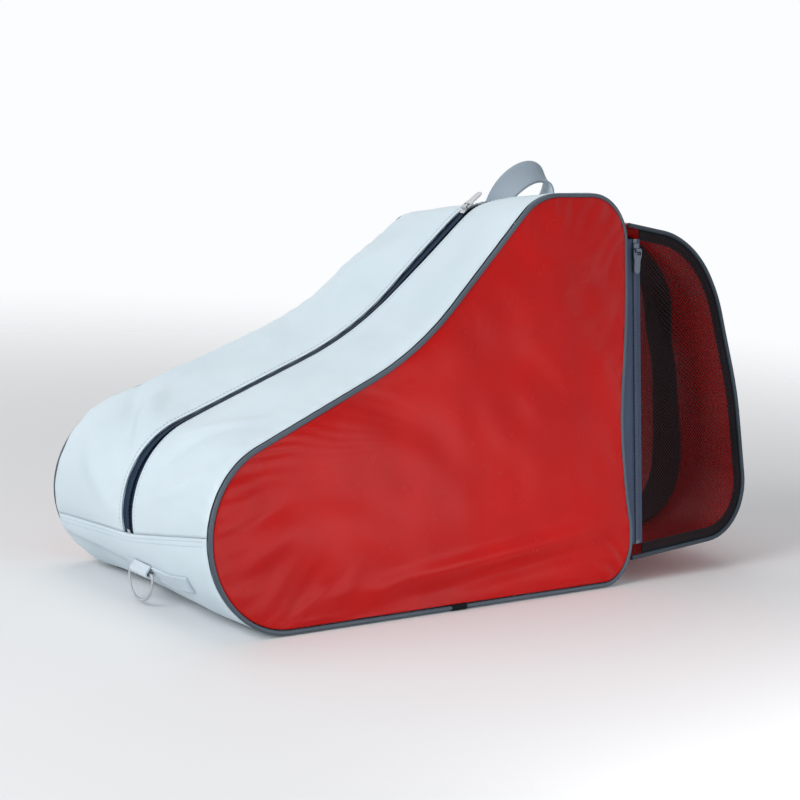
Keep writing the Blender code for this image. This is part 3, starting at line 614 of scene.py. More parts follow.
class Gusset(Ruled):
    """Silver sheet from the base round the nose, shin and crown to the heel, parted by the zip."""

    def __init__(self, left, right, marks):
        super().__init__(left, right, marks)
        self.base_front = self.mark("nose_foot_start")
        nose_top = self.mark("nose_top_start")
        self.seam = self.find(1, SEAM_HEIGHT, self.base_front, nose_top)
        self.zip_top = self.mark("crest_start") + ZIP_PAST_SHIN
        self.heel_top = self.mark("heel_top_end")
        self.end = self.length[-1]
        self.nose_tab = self.find(0, NOSE_TAB_X, self.base_front, nose_top)
        rear_x = LENGTH - HANDLE_TO_HEEL
        self.handle_front = self.find(0, rear_x - HANDLE_SPAN, self.mark("bend_end"), self.heel_top)
        self.handle_rear = self.find(0, rear_x, self.mark("bend_end"), self.heel_top)
        self.crown_tab = self.handle_rear + HANDLE_FOOT + CROWN_TAB_CLEARANCE + TAB_FOOT / 2.0

    def shift(self, s, y):
        """How far the sheet is pulled along by its cross seam, which climbs towards the left side."""
        climb = np.where(y < 0.0, SEAM_CLIMB_LEFT, SEAM_CLIMB_RIGHT)
        return -climb * y * hump(s, self.seam, SEAM_CLIMB_REACH)

    def span(self, s):
        low, high = super().span(s)
        return super().span(s + self.shift(s, low))[0], super().span(s + self.shift(s, high))[1]

    def points(self, s, y):
        return super().points(s + self.shift(s, y), y)

    def lip(self, s):
        """Half the opening over the zip: wide at the nose, nearly closed on the slope, wider again up the shin."""
        closing = smooth(s, self.seam + LIP_CLOSE_START, LIP_CLOSE_LENGTH)
        rising = smooth(s, self.mark("bend_end") + LIP_RISE_START, LIP_RISE_LENGTH)
        return LIP_NOSE + (LIP_SHIN - LIP_NOSE) * closing + (LIP_TOP - LIP_SHIN) * rising

    def free(self, s, y, left, right):
        """Share of the swell that the seams, the zip, the handle's feet and the nose ring's tab leave free."""
        share = ease(left, SEAM_REACH) * ease(right, SEAM_REACH)
        for line in (self.seam, self.zip_top, self.heel_top):
            share = share * ease(np.abs(s - line), SEAM_REACH)
        share = share * np.where(self.zipped(s), ease(np.abs(y) - self.lip(s), ZIP_REACH), 1.0)
        crown = (s >= self.zip_top) & (s <= self.heel_top)
        share = share * np.where(crown, ease(np.abs(y) - SEWN_SHARE * WEBBING_WIDTH, SEAM_REACH), 1.0)
        tab = np.maximum(np.abs(s - self.nose_tab) - TAB_FOOT, np.abs(y - NOSE_TAB_Y) - SEWN_SHARE * TAB_WIDTH)
        return share * ease(tab, SEAM_REACH)

    def zipped(self, s):
        return (s > self.seam) & (s < self.zip_top)

    def far_swell(self, s, right):
        """Extra swell of the right half, past the bend and under the cross seam."""
        bend = 0.5 * (self.mark("bend_start") + self.mark("bend_end"))
        past, reach = FAR_BULGE_ALONG
        shin = FAR_BULGE * hump(s, bend + past, reach) * hump(right, *FAR_BULGE_ACROSS)
        return shin + NOSE_BULGE * hump(right, *NOSE_BULGE_ACROSS) * ease(self.seam - s, NOSE_BULGE_REACH)

    def roll(self, s, left, right):
        """Roll of the cloth along its pipings. On the nose the far one is low, so that its cord shows."""
        drop = hump(s, self.seam + FAR_ROLL_DROP_START, FAR_ROLL_DROP_REACH)
        height = NEAR_ROLL * beside(left, NEAR_ROLL_REACH, ROLL_EDGE)
        height = height + FAR_ROLL * (1.0 - FAR_ROLL_DROP * drop) * beside(right, FAR_ROLL_REACH, ROLL_EDGE)
        height = height * (1.0 - SEAM_ROLL_CUT * hump(s, self.seam, SEAM_ROLL_REACH))
        crown = ramp(s, self.mark("crest_start") + CROWN_ROLL_START, CROWN_ROLL_FADE)
        return height * (1.0 - CROWN_ROLL_CUT * crown) * ease(self.heel_top - s, HEEL_ROLL_REACH)

    def nose_crease(self, s, y, right):
        """Depth of the slanting crease under the cross seam, on the right half."""
        past = self.seam - CREASE_DROP - CREASE_SLOPE * (CREASE_HIGH_Y - y) - s
        ends = ease(y - CREASE_START_Y, CREASE_START_REACH) * ease(right, CREASE_END_REACH)
        return CREASE_DEPTH * beside(past, CREASE_REACH, CREASE_EDGE) * ends

    def relief(self, s, y):
        s, y = np.broadcast_arrays(s, y)
        points = self.points(s, y)
        low, high = self.span(s)
        left, right = y - low, high - y
        opening = np.abs(y) - self.lip(s)
        zipped = self.zipped(s)
        dents, fine_dents, puckers = GUSSET_SEEDS
        swell = GUSSET_BULGE + DENT * drift(points, DENT_SIZE, dents)
        swell = swell + FINE_DENT * drift(points, FINE_DENT_SIZE, fine_dents)
        swell = swell + self.far_swell(s, right) + folded(TOE_FOLDS, s - self.seam, y)
        lips = np.where(zipped, LIP_PUCKER * beside(opening, PUCKER_REACH, LIP_EDGE), 0.0)
        seams = PUCKER * pucker_wave(s, points, puckers) * (pucker_edges(left, right) + lips)
        seams = seams + self.roll(s, left, right) - self.nose_crease(s, y, right)
        seams = seams - np.where(zipped, LIP_DIP * np.exp(-np.maximum(opening, 0.0) / LIP_DIP_REACH), 0.0)
        foot = ease(s - self.base_front, FOOT_REACH) * ease(points[..., 2], FOOT_REACH)
        height = (self.free(s, y, left, right) * swell + seams) * foot
        return np.where(s > self.base_front, height, 0.0)


class Pocket(Ruled):
    """Red band of the pocket, slack between its pipings and puffed at both ends."""

    def relief(self, s, y):
        s, y = np.broadcast_arrays(s, y)
        points = self.points(s, y)
        low, high = self.span(s)
        left, right = y - low, high - y
        rest = self.length[-1] - s
        dents, puckers = POCKET_SEEDS
        free = ease(left, SEAM_REACH) * ease(right, SEAM_REACH) * ease(s, SEAM_REACH) * ease(rest, SEAM_REACH)
        swell = free * (POCKET_BULGE + DENT * drift(points, POCKET_DENT_SIZE, dents))
        puff = POCKET_PUFF * (np.exp(-s / POCKET_PUFF_TOP) + np.exp(-rest / POCKET_PUFF_FLOOR))
        puff = puff * ease(left, POCKET_PUFF_EDGE) * ease(right, POCKET_PUFF_EDGE)
        puff = puff * ease(s, POCKET_PUFF_END) * ease(rest, POCKET_PUFF_END)
        return swell + puff + PUCKER * pucker_wave(s, points, puckers) * pucker_edges(left, right)


def normals(grid):
    """Unit normals of a grid of points."""
    return unit(np.cross(np.gradient(grid, axis=0), np.gradient(grid, axis=1)))


def new_object(name, data, material, body="bag"):
    obj = bpy.data.objects.new(name, data)
    bpy.context.scene.collection.objects.link(obj)
    data.materials.append(material)
    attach(obj, body)
    return obj


def new_mesh(name, vertices, faces, flat=None, smooth=True):
    """Mesh with flat cloth coordinates in metres, one pair for each vertex."""
    mesh = bpy.data.meshes.new(name)
    mesh.from_pydata(np.asarray(vertices).tolist(), [], faces)
    mesh.polygons.foreach_set("use_smooth", [smooth] * len(mesh.polygons))
    if flat is not None:
        corner = np.empty(len(mesh.loops), int)
        mesh.loops.foreach_get("vertex_index", corner)
        mesh.uv_layers.new(name="flat").data.foreach_set("uv", np.asarray(flat)[corner].ravel())
    mesh.update()
    return mesh


def grid_faces(rows, columns, start, flip, wrap=False):
    """Quads of a grid of vertices, row after row."""
    faces = []
    for i in range(rows - 1):
        for j in range(columns if wrap else columns - 1):
            after = (j + 1) % columns
            quad = [i * columns + j, i * columns + after, (i + 1) * columns + after, (i + 1) * columns + j]
            faces.append([start + k for k in (quad[::-1] if flip else quad)])
    return faces


def shell(name, grid, low, high, material, inner_material=None):
    """Closed soft sheet from offset low to offset high over a grid."""
    rows, columns = grid.shape[:2]
    normal = normals(grid)
    count = rows * columns
    vertices = np.concatenate([(grid + normal * high).reshape(-1, 3), (grid + normal * low).reshape(-1, 3)])
    along = np.cumsum(np.linalg.norm(np.diff(grid, axis=0, prepend=grid[:1]), axis=-1), axis=0)
    across = np.cumsum(np.linalg.norm(np.diff(grid, axis=1, prepend=grid[:, :1]), axis=-1), axis=1)
    middle = across - across[:, -1:] / 2.0
    flat = np.stack([middle, along[:, columns // 2, None] + np.zeros_like(along)], -1).reshape(-1, 2)
    faces = grid_faces(rows, columns, 0, True) + grid_faces(rows, columns, count, False)
    border = list(range(columns))
    border += [i * columns + columns - 1 for i in range(1, rows)]
    border += [(rows - 1) * columns + j for j in range(columns - 2, -1, -1)]
    border += [i * columns for i in range(rows - 2, 0, -1)]
    rim = [[a, b, count + b, count + a] for a, b in zip(border, border[1:] + border[:1])]
    mesh = new_mesh(name, vertices, faces + rim, np.concatenate([flat, flat]))
    for k in range(len(faces), len(faces) + len(rim)):
        mesh.polygons[k].use_smooth = False
    obj = new_object(name, mesh, material)
    if inner_material is not None:
        mesh.materials.append(inner_material)
        for k in range(len(faces) // 2, len(faces)):
            mesh.polygons[k].material_index = 1
    return obj


def tube(name, points, radius, closed, material):
    """Round cord through a row of points."""
    curve = bpy.data.curves.new(name, "CURVE")
    curve.dimensions = "3D"
    curve.bevel_depth = radius
    curve.bevel_resolution = CORD_RESOLUTION
    curve.use_fill_caps = True
    spline = curve.splines.new("POLY")
    spline.points.add(len(points) - 1)
    for vertex, point in zip(spline.points, points):
        vertex.co = (*point, 1.0)
    spline.use_cyclic_u = closed
    spline.use_smooth = True
    return new_object(name, curve, material)


def add_stitches(name, rows, slot, materials):
    """Thread stitches along rows of (points, normals), all in one mesh."""
    vertices, faces = [], []
    turns = np.linspace(0.0, TURN, STITCH_SIDES + 1)[:-1]
    rings = len(STITCH_SIZES)
    for points, normal in rows:
        length = path_length(points)
        for s in np.arange(STITCH_PITCH / 2.0, length[-1] - STITCH_LENGTH, STITCH_PITCH):
            ends = s + STITCH_PLACES * STITCH_LENGTH
            spots = np.stack([np.interp(ends, length, points[:, k]) for k in range(3)], -1)
            up = unit(np.array([np.interp(s, length, normal[:, k]) for k in range(3)]))
            side = np.cross(up, unit(spots[-1] - spots[0]))
            start = len(vertices)
            for spot, size in zip(spots, STITCH_SIZES):
                radius = STITCH_RADIUS * size
                for turn in turns:
                    vertices.append(spot + (up * (STITCH_LIFT + math.sin(turn)) + side * math.cos(turn)) * radius)
            faces += grid_faces(rings, STITCH_SIDES, start, False, wrap=True)
            faces.append([start + k for k in reversed(range(STITCH_SIDES))])
            faces.append([start + (rings - 1) * STITCH_SIDES + k for k in range(STITCH_SIDES)])
    obj = new_object(name, new_mesh(name, vertices, faces), materials[slot])


def node_material(name, colour, roughness, metallic=0.0):
    """Material with a Principled BSDF, and what its texture nodes need."""
    material = bpy.data.materials.new(name)
    material.use_nodes = True
    tree = material.node_tree
    shader = tree.nodes["Principled BSDF"]
    shader.inputs["Base Color"].default_value = (*colour, 1.0)
    shader.inputs["Roughness"].default_value = roughness
    shader.inputs["Metallic"].default_value = metallic
    return material, tree, shader


def add_node(tree, kind, inputs, **settings):
    """Shader node with its settings. Each input is a value or an output to link."""
    node = tree.nodes.new("ShaderNode" + kind)
    for key, value in settings.items():
        setattr(node, key, value)
    for key, value in inputs.items():
        if isinstance(value, bpy.types.NodeSocket):
            tree.links.new(value, node.inputs[key])
        else:
            node.inputs[key].default_value = value
    return node


def place_node(tree, kind):
    return add_node(tree, "TexCoord", {}).outputs[kind]


def noise_node(tree, scale, detail=NOISE_DETAIL):
    inputs = {"Scale": scale, "Detail": detail, "Vector": place_node(tree, "Object")}
    return add_node(tree, "TexNoise", inputs).outputs["Fac"]


def weave_node(tree, pitch, kind, turn):
    """Height of a plain weave with threads a pitch apart, turned in the cloth's flat plane."""
    place = add_node(tree, "Mapping", {"Rotation": (0.0, 0.0, turn), "Vector": place_node(tree, kind)})
    # The wave texture turns WAVE_TURN radians for each unit
    scale = TURN / WAVE_TURN / pitch
    inputs = {"Scale": scale, "Distortion": WEAVE_DISTORTION, "Vector": place.outputs["Vector"]}
    threads = [add_node(tree, "TexWave", inputs, bands_direction=way).outputs["Fac"] for way in ("X", "Y")]
    return add_node(tree, "Math", dict(enumerate(threads)), operation="MULTIPLY").outputs["Value"]


def vary_colour(tree, shader, fac, dark, light):
    ramp_node = add_node(tree, "ValToRGB", {"Fac": fac})
    for element, place, colour in zip(ramp_node.color_ramp.elements, COLOUR_STOPS, (dark, light)):
        element.position = place
        element.color = (*colour, 1.0)
    tree.links.new(ramp_node.outputs["Color"], shader.inputs["Base Color"])


def vary_roughness(tree, shader, fac, low, high):
    span = add_node(tree, "MapRange", {"To Min": low, "To Max": high, "Value": fac})
    tree.links.new(span.outputs["Result"], shader.inputs["Roughness"])


def add_bump(tree, shader, heights):
    """Bumps laid over each other: (height, strength, distance)."""
    last = {}
    for height, strength, distance in heights:
        bump = add_node(tree, "Bump", {"Strength": strength, "Distance": distance, "Height": height, **last})
        last = {"Normal": bump.outputs["Normal"]}
    tree.links.new(last["Normal"], shader.inputs["Normal"])


def cloth_material(name, dark, light, roughness, weave, gloss):
    """Coated or woven cloth: colour drift, uneven gloss, weave and soft dents."""
    pitch, depth, soft, kind, turn = weave
    material, tree, shader = node_material(name, light, roughness)
    vary_colour(tree, shader, noise_node(tree, CLOTH_COLOUR_SCALE), dark, light)
    low, high = CLOTH_ROUGHNESS
    vary_roughness(tree, shader, noise_node(tree, CLOTH_GLOSS_SCALE), roughness + low, roughness + high)
    dents = noise_node(tree, CLOTH_DENT_SCALE, CLOTH_DENT_DETAIL)
    threads = weave_node(tree, pitch, kind, turn)
    add_bump(tree, shader, [(dents, CLOTH_DENT_STRENGTH, soft), (threads, CLOTH_WEAVE_STRENGTH, depth)])
    shader.inputs["Specular IOR Level"].default_value = gloss
    return material


def metal_material(name, colour, roughness):
    """Plated metal with fine scuffs."""
    material, tree, shader = node_material(name, colour, roughness, 1.0)
    scuff = noise_node(tree, SCUFF_SCALE, SCUFF_DETAIL)
    low, high = SCUFF_ROUGHNESS
    vary_roughness(tree, shader, scuff, roughness + low, roughness + high)
    add_bump(tree, shader, [(scuff, SCUFF_STRENGTH, SCUFF_DEPTH)])
    return material


def make_materials():
    materials = {}
    for slot, (ending, *looks) in CLOTHS.items():
        materials[slot] = cloth_material(slot + "_" + ending, *looks)
    for slot, looks in METALS.items():
        materials[slot] = metal_material(slot + "_plate", *looks)
    return materials


def stand_for(obj, slot, *nodes):
    """Hide the CAD nodes that a piece stands for. The slot is not used."""
    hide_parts(*nodes)
    return obj


def add_sheet(name, node, slot, grid, low, high, materials):
    """Soft sheet over a grid that stands for a CAD node."""
    stand_for(shell(name, grid, low, high, materials[slot]), slot, node)


def side_point(points, sign):
    return in_space(points, sign * half_width(points))


def side_normal(sign):
    level = np.array([1.0, -sign * LEAN_X, 0.0])
    up = np.array([0.0, -sign * LEAN_Z, 1.0])
    return unit(np.cross(level, up) * -sign)


def inset(points, depth):
    """Closed outline moved inwards; the outline runs with its outside on the left."""
    along = unit(np.roll(points, -1, 0) - np.roll(points, 1, 0))
    return points - np.stack([-along[:, 1], along[:, 0]], -1) * depth


def edge_distance(points, outline):
    """Distance of side-view points from the nearest point of an outline."""
    flat = points.reshape(-1, 2)
    nearest = [np.min(np.hypot(outline[:, 0] - p[0], outline[:, 1] - p[1])) for p in flat]
    return np.array(nearest).reshape(points.shape[:-1])


def panel_relief(points, along, border, sign):
    """Height of a stuffed side panel: swollen, dented, puckered at its seam and folded above the base."""
    x, z = points[..., 0], points[..., 1]
    edge = edge_distance(points, border)
    dents, fine_dents, puckers = (seed + sign for seed in PANEL_SEEDS)
    uneven = PANEL_DENT * drift(points, DENT_SIZE, dents)
    uneven = uneven + PANEL_FINE_DENT * drift(points, PANEL_FINE_DENT_SIZE, fine_dents)
    uneven = uneven + folded(PANEL_FOLDS, x, z)
    size = PANEL_PUCKER + PANEL_END_PUCKER * (hump(x, *HEEL_PUCKER) + hump(x, *NOSE_PUCKER))
    size = size + PUCKER * hump(z, *BASE_PUCKER)
    seams = size * pucker_wave(along, points, puckers) * beside(edge, PANEL_PUCKER_REACH, PANEL_PUCKER_EDGE)
    return PANEL_BULGE * ease(edge, PANEL_REACH) + uneven * ease(edge, PANEL_EDGE) + seams


def add_side_panel(seam, sign, label, materials):
    """Stuffed side panel: rings of points round a centre."""
    border = inset(seam[:-1], SEAM_INSET)
    share = 1.0 - np.linspace(0.0, 1.0, PANEL_RINGS + 1) ** RING_SPACING
    rings = PANEL_CENTRE + (border - PANEL_CENTRE) * share[:-1, None, None]
    flat = np.concatenate([rings.reshape(-1, 2), PANEL_CENTRE[None]])
    along = np.broadcast_to(path_length(border), rings.shape[:2])
    height = panel_relief(flat, np.append(along.ravel(), 0.0), border, sign)
    vertices = side_point(flat, sign) + side_normal(sign) * height[:, None]
    rows, columns = rings.shape[:2]
    faces = grid_faces(rows, columns, 0, sign > 0, wrap=True)
    last = (rows - 1) * columns
    for j in range(columns):
        fan = [last + j, last + (j + 1) % columns, rows * columns]
        faces.append(fan[::-1] if sign > 0 else fan)
    name = "side_cloth_" + label
    obj = new_object(name, new_mesh(name, vertices, faces, flat), materials["red_pvc"])
    thicken = obj.modifiers.new("thickness", "SOLIDIFY")
    thicken.thickness = PVC
    thicken.offset = 0.0
    stand_for(obj, "red_pvc", "side_panel_" + label)


def add_bag(gusset, materials):
    """Side panels, piping and the six panels of the gusset."""
    for sign, label, seam in ((-1, "left", gusset.left), (1, "right", gusset.right)):
        add_side_panel(seam, sign, label, materials)
        line = seam[:-1]
        sunk = ease(line[:, 1:] - PIPING_RADIUS, CORD_SINK_REACH)
        line = line * (1.0 - sunk) + inset(line, CORD_SINK) * sunk
        cord = tube("piping_cord_" + label, side_point(line, sign), CORD_RADIUS, True, materials["slate_piping"])
        stand_for(cord, "slate_piping", "piping_" + label)
    half = PVC / 2.0
    s = steps(gusset.seam + GAP, gusset.zip_top, ALONG_STEP)
    lip = gusset.lip(s)
    for label, y in (("left", gusset.across(s, high=-lip)), ("right", gusset.across(s, low=lip))):
        grid = gusset.skin(s, y)
        add_sheet("top_cloth_" + label, "top_gusset_" + label, "silver_pvc", grid, -half, half, materials)
    plain = (
        ("nose", gusset.base_front + GAP, gusset.seam, -half, "silver_pvc"),
        ("crown", gusset.zip_top + GAP, gusset.heel_top, -half, "silver_pvc"),
        ("heel", gusset.heel_top + GAP, gusset.end, -half, "grey_lining"),
        ("base", GAP, gusset.base_front, PIPING_RADIUS - PVC, "silver_pvc"),
    )
    for label, s0, s1, low, slot in plain:
        s = steps(s0, s1, ALONG_STEP)
        grid = gusset.skin(s, gusset.across(s))
        add_sheet(label + "_cloth", label + "_panel", slot, grid, low, low + PVC, materials)


def row_along(ruled, s, y, offset):
    """Points and normals of a row of stitches over a sheet."""
    s, y = np.broadcast_arrays(s, y)
    return ruled.skin(s, y, offset), ruled.normal(s, y)


def row_across(gusset, s, margin, count):
    """Row of stitches from near one piping to near the other."""
    s = np.full(count, s)
    low, high = gusset.span(s)
    return row_along(gusset, s, low + (high - low) * np.linspace(margin, 1.0 - margin, count), PVC / 2.0)


def add_gusset_stitches(gusset, materials):
    """Double row under the cross seam, one row beside each zip edge and one behind the zip."""
    rows = [row_across(gusset, gusset.seam - drop, SEAM_ROW_MARGIN, SEAM_ROW_STEPS) for drop in SEAM_ROW_DROPS]
    s = np.linspace(gusset.seam + LIP_ROW_START, gusset.zip_top, LIP_ROW_STEPS)
    for sign in (-1.0, 1.0):
        rows.append(row_along(gusset, s, sign * (gusset.lip(s) + LIP_ROW_INSET), PVC / 2.0))
    rows.append(row_across(gusset, gusset.zip_top + CROWN_ROW_INSET, CROWN_ROW_MARGIN, CROWN_ROW_STEPS))
    add_stitches("gusset_stitches", rows, "silver_webbing", materials)


def add_zip_tapes(gusset, materials):
    """Woven tapes on both sides of the coil."""
    high = -PVC / 2.0 - GAP
    root = COIL_WIDTH / 2.0 + GAP
    s = steps(gusset.seam + GAP, gusset.zip_top, ALONG_STEP)
    for label, y0, y1 in (("left", -ZIP_TAPE_EDGE, -root), ("right", root, ZIP_TAPE_EDGE)):
        grid = gusset.points(s, y0 + (y1 - y0) * np.linspace(0.0, 1.0, ZIP_TAPE_STEPS))
        add_sheet("zip_weave_" + label, "zip_tape_" + label, "navy_tape", grid, high - TAPE, high, materials)


def slope_at(gusset, s):
    """Change of a world point for each metre across the ruled sheet."""
    return gusset.points(s, 0.5) - gusset.points(s, -0.5)


def add_handle(gusset, materials):
    """Webbing loop with two sewn feet on the crown, turned on its edge half way."""
    skin = PVC / 2.0 + GAP + WEBBING / 2.0
    front_feet = np.linspace(gusset.handle_front - HANDLE_FOOT, gusset.handle_front, FOOT_STEPS)
    rear_feet = np.linspace(gusset.handle_rear, gusset.handle_rear + HANDLE_FOOT, FOOT_STEPS)
    feet = [gusset.points(s, 0.0) + gusset.normal(s, 0.0) * skin for s in (front_feet, rear_feet)]
    start, stop = feet[0][-1], feet[1][0]
    # The loop is a cubic curve, which rises three quarters of the way to its two middle points
    lift = HANDLE_RISE * 4.0 / 3.0
    one = start + (HANDLE_FRONT_LEAN, 0.0, lift)
    two = stop + (HANDLE_REAR_LEAN, 0.0, lift)
    share = np.linspace(0.0, 1.0, LOOP_STEPS)[1:-1]
    t = share[:, None]
    loop = start * (1 - t) ** 3 + one * 3 * t * (1 - t) ** 2 + two * 3 * t * t * (1 - t) + stop * t ** 3
    centre = np.concatenate([feet[0], loop, feet[1]])
    front, rear = slope_at(gusset, front_feet), slope_at(gusset, rear_feet)
    level = np.concatenate([front, front[-1] * (1 - t) + rear[0] * t, rear])
    flat = np.zeros(FOOT_STEPS)
    twist = np.concatenate([flat, HANDLE_TWIST * np.sin(math.pi * share), flat])[:, None]
    along = unit(np.gradient(centre, axis=0))
    upright = np.stack([-along[:, 2], np.zeros(len(along)), along[:, 0]], -1)
    across = level * np.cos(twist) + upright * np.sin(twist)
    y = np.linspace(-WEBBING_WIDTH / 2.0, WEBBING_WIDTH / 2.0, WEBBING_STEPS)
    grid = centre[:, None] + across[:, None] * y[None, :, None]
    half = WEBBING / 2.0
    # Painted shade: the upper face takes the darker grey-blue webbing and the under face the pale silver webbing
    obj = shell("handle_webbing", grid, -half, half, materials["grey_webbing_and_shade"], materials["silver_webbing"])
    stand_for(obj, "silver_webbing", "carry_handle")
    rows = []
    for feet_s in (front_feet, rear_feet):
        s0, s1 = feet_s[1], feet_s[-2]
        edge = WEBBING_WIDTH / 2.0 - HANDLE_ROW_INSET
        corners = [(s0, -edge), (s0, edge), (s1, edge), (s1, -edge), (s0, -edge), (s1, edge)]
        for (a, y0), (b, y1) in zip(corners, corners[1:]):
            s, y = np.linspace((a, y0), (b, y1), FOOT_ROW_STEPS).T
            rows.append(row_along(gusset, s, y, skin + half))
    add_stitches("handle_stitches", rows, "silver_webbing", materials)


def add_ring_tab(gusset, label, s, y, materials):
    """Webbing folded round the bar of a ring and sewn down at both ends."""
    skin = PVC / 2.0 + GAP
    plain = Ruled(gusset.left, gusset.right, gusset.marks)
    across = unit(slope_at(plain, np.array([s])))[0]
    base = (plain.points(s, y) + plain.normal(s, y) * skin).reshape(3)
    ends = plain.points(np.array([s - TAB_FOOT / 2.0, s + TAB_FOOT / 2.0]), y)
    along = ends[1] - ends[0]
    along = unit(along - across * (along @ across))
    outward = np.cross(along, across)
    middle = TAB_BORE / 2.0 + TAB_WALL / 2.0
    turns = np.linspace(-TAB_OVERTURN, math.pi + TAB_OVERTURN, TAB_FOLD_STEPS)
    fold = np.stack([np.cos(turns) * middle, TAB_STEM + np.sin(turns) * middle], -1)
    leg = np.linspace(0.0, 1.0, FOOT_STEPS)[:-1, None]
    foot = np.array([TAB_FOOT / 2.0 - TAB_WALL / 2.0, TAB_WALL / 2.0])
    first = foot * (1.0 - leg) + fold[0] * leg
    last = (foot * (-1.0, 1.0)) * (1.0 - leg) + fold[-1] * leg
    path = np.concatenate([first, fold, last[::-1]])
    width = np.linspace(TAB_WIDTH / 2.0, -TAB_WIDTH / 2.0, TAB_STEPS)
    line = base + path[:, :1] * along + path[:, 1:] * outward
    grid = line[:, None] + width[None, :, None] * across
    half = TAB_WALL / 2.0
    add_sheet(label + "_tab_webbing", label + "_ring_tab", "silver_webbing", grid, -half, half, materials)


def add_nose_strip(gusset, materials):
    """Flat webbing sewn under the nose, from the ring's tab towards the left side."""
    low = PVC / 2.0 + GAP
    half = NOSE_STRIP_WIDTH / 2.0
    middle = gusset.nose_tab - NOSE_STRIP_DROP
    s = np.linspace(middle - half, middle + half, STRIP_CROSS_STEPS)[:, None]
    first = NOSE_TAB_Y - TAB_WIDTH / 2.0 - GAP
    y = np.linspace(NOSE_STRIP_END, first, STRIP_STEPS)[None]
    obj = shell("nose_strip_webbing", gusset.skin(s, y), low, low + WEBBING, materials["silver_webbing"])
    inset_end = NOSE_STRIP_END + STRIP_ROW_INSET
    edge = STRIP_ROW_SHARE * half
    line = np.linspace(inset_end, first - STRIP_ROW_INSET, STRIP_STEPS)
    rows = [row_along(gusset, middle + side, line, low + WEBBING) for side in (-edge, edge)]
    ends = np.linspace(middle - edge, middle + edge, STRIP_END_STEPS)
    rows.append(row_along(gusset, ends, inset_end, low + WEBBING))
    add_stitches("nose_strip_stitches", rows, "silver_webbing", materials)


def add_piping_join(materials):
    """Tape wrapped round the place where the left piping's ends meet, under the base."""
    radius = PIPING_RADIUS + GAP
    x = np.linspace(PIPING_JOIN_START, PIPING_JOIN_END, JOIN_STEPS)
    line = side_point(np.stack([x, np.full_like(x, radius)], -1), -1)
    obj = tube("piping_join", line, radius, False, materials["black_webbing"])


def add_pocket(pocket, materials):
    """Band, nets, hems, piping and strap of the pocket behind the heel."""
    end = pocket.length[-1]
    half = PVC / 2.0
    s = steps(0.0, end, ALONG_STEP)
    grid = pocket.skin(s, pocket.across(s))
    add_sheet("pocket_band_cloth", "pocket_band", "red_pvc", grid, -half, half, materials)
    s = steps(STRAP_TOP_INSET, end - STRAP_FLOOR_INSET, ALONG_STEP)
    y = np.linspace(STRAP_LEFT, STRAP_RIGHT, WEBBING_STEPS)[None]
    high = -half - 2.0 * GAP
    slack = STRAP_SLACK * np.sin(math.pi * (s - s[0]) / (s[-1] - s[0])) ** 2
    grid = pocket.skin(s, y, -slack + np.zeros_like(y))
    add_sheet("pocket_strap_weave", "pocket_strap", "black_webbing", grid, high - WEBBING, high, materials)
    for sign, label, seam in ((-1, "left", pocket.left), (1, "right", pocket.right)):
        cord = tube("pocket_cord_" + label, side_point(seam, sign), CORD_RADIUS, False, materials["pocket_piping"])
        stand_for(cord, "slate_piping", "pocket_piping_" + label)
        add_net(seam, sign, label, materials)


def net_outline(seam, sign, depth):
    """Seam of a net moved in, and kept behind the straight edge at the heel."""
    edge = LENGTH + SEAM_INSET
    if sign < 0:
        edge += 2.0 * SIDE_TAPE_WIDTH + COIL_WIDTH + 3.0 * GAP
    along = unit(np.gradient(seam, axis=0))
    moved = seam - np.stack([-along[:, 1], along[:, 0]], -1) * depth
    moved[:, 0] = np.maximum(moved[:, 0], edge)
    return moved


def encloses(outline, points):
    """Whether a closed outline goes round each point, by the even-odd rule."""
    odd = np.zeros(points.shape[:-1], bool)
    for a, b in zip(outline, np.roll(outline, -1, 0)):
        if a[1] == b[1]:
            continue
        spans = (a[1] > points[..., 1]) != (b[1] > points[..., 1])
        crossing = a[0] + (b[0] - a[0]) * (points[..., 1] - a[1]) / (b[1] - a[1])
        odd ^= spans & (crossing > points[..., 0])
    return odd


def net_relief(points, border):
    """Height of a slack net: sunk between its seams, with one slanting fold."""
    edge = edge_distance(points, border)
    fold = folded(NET_FOLDS, points[..., 0], points[..., 1])
    return (fold - NET_SAG * ease(edge, NET_SAG_REACH)) * ease(edge, NET_EDGE)


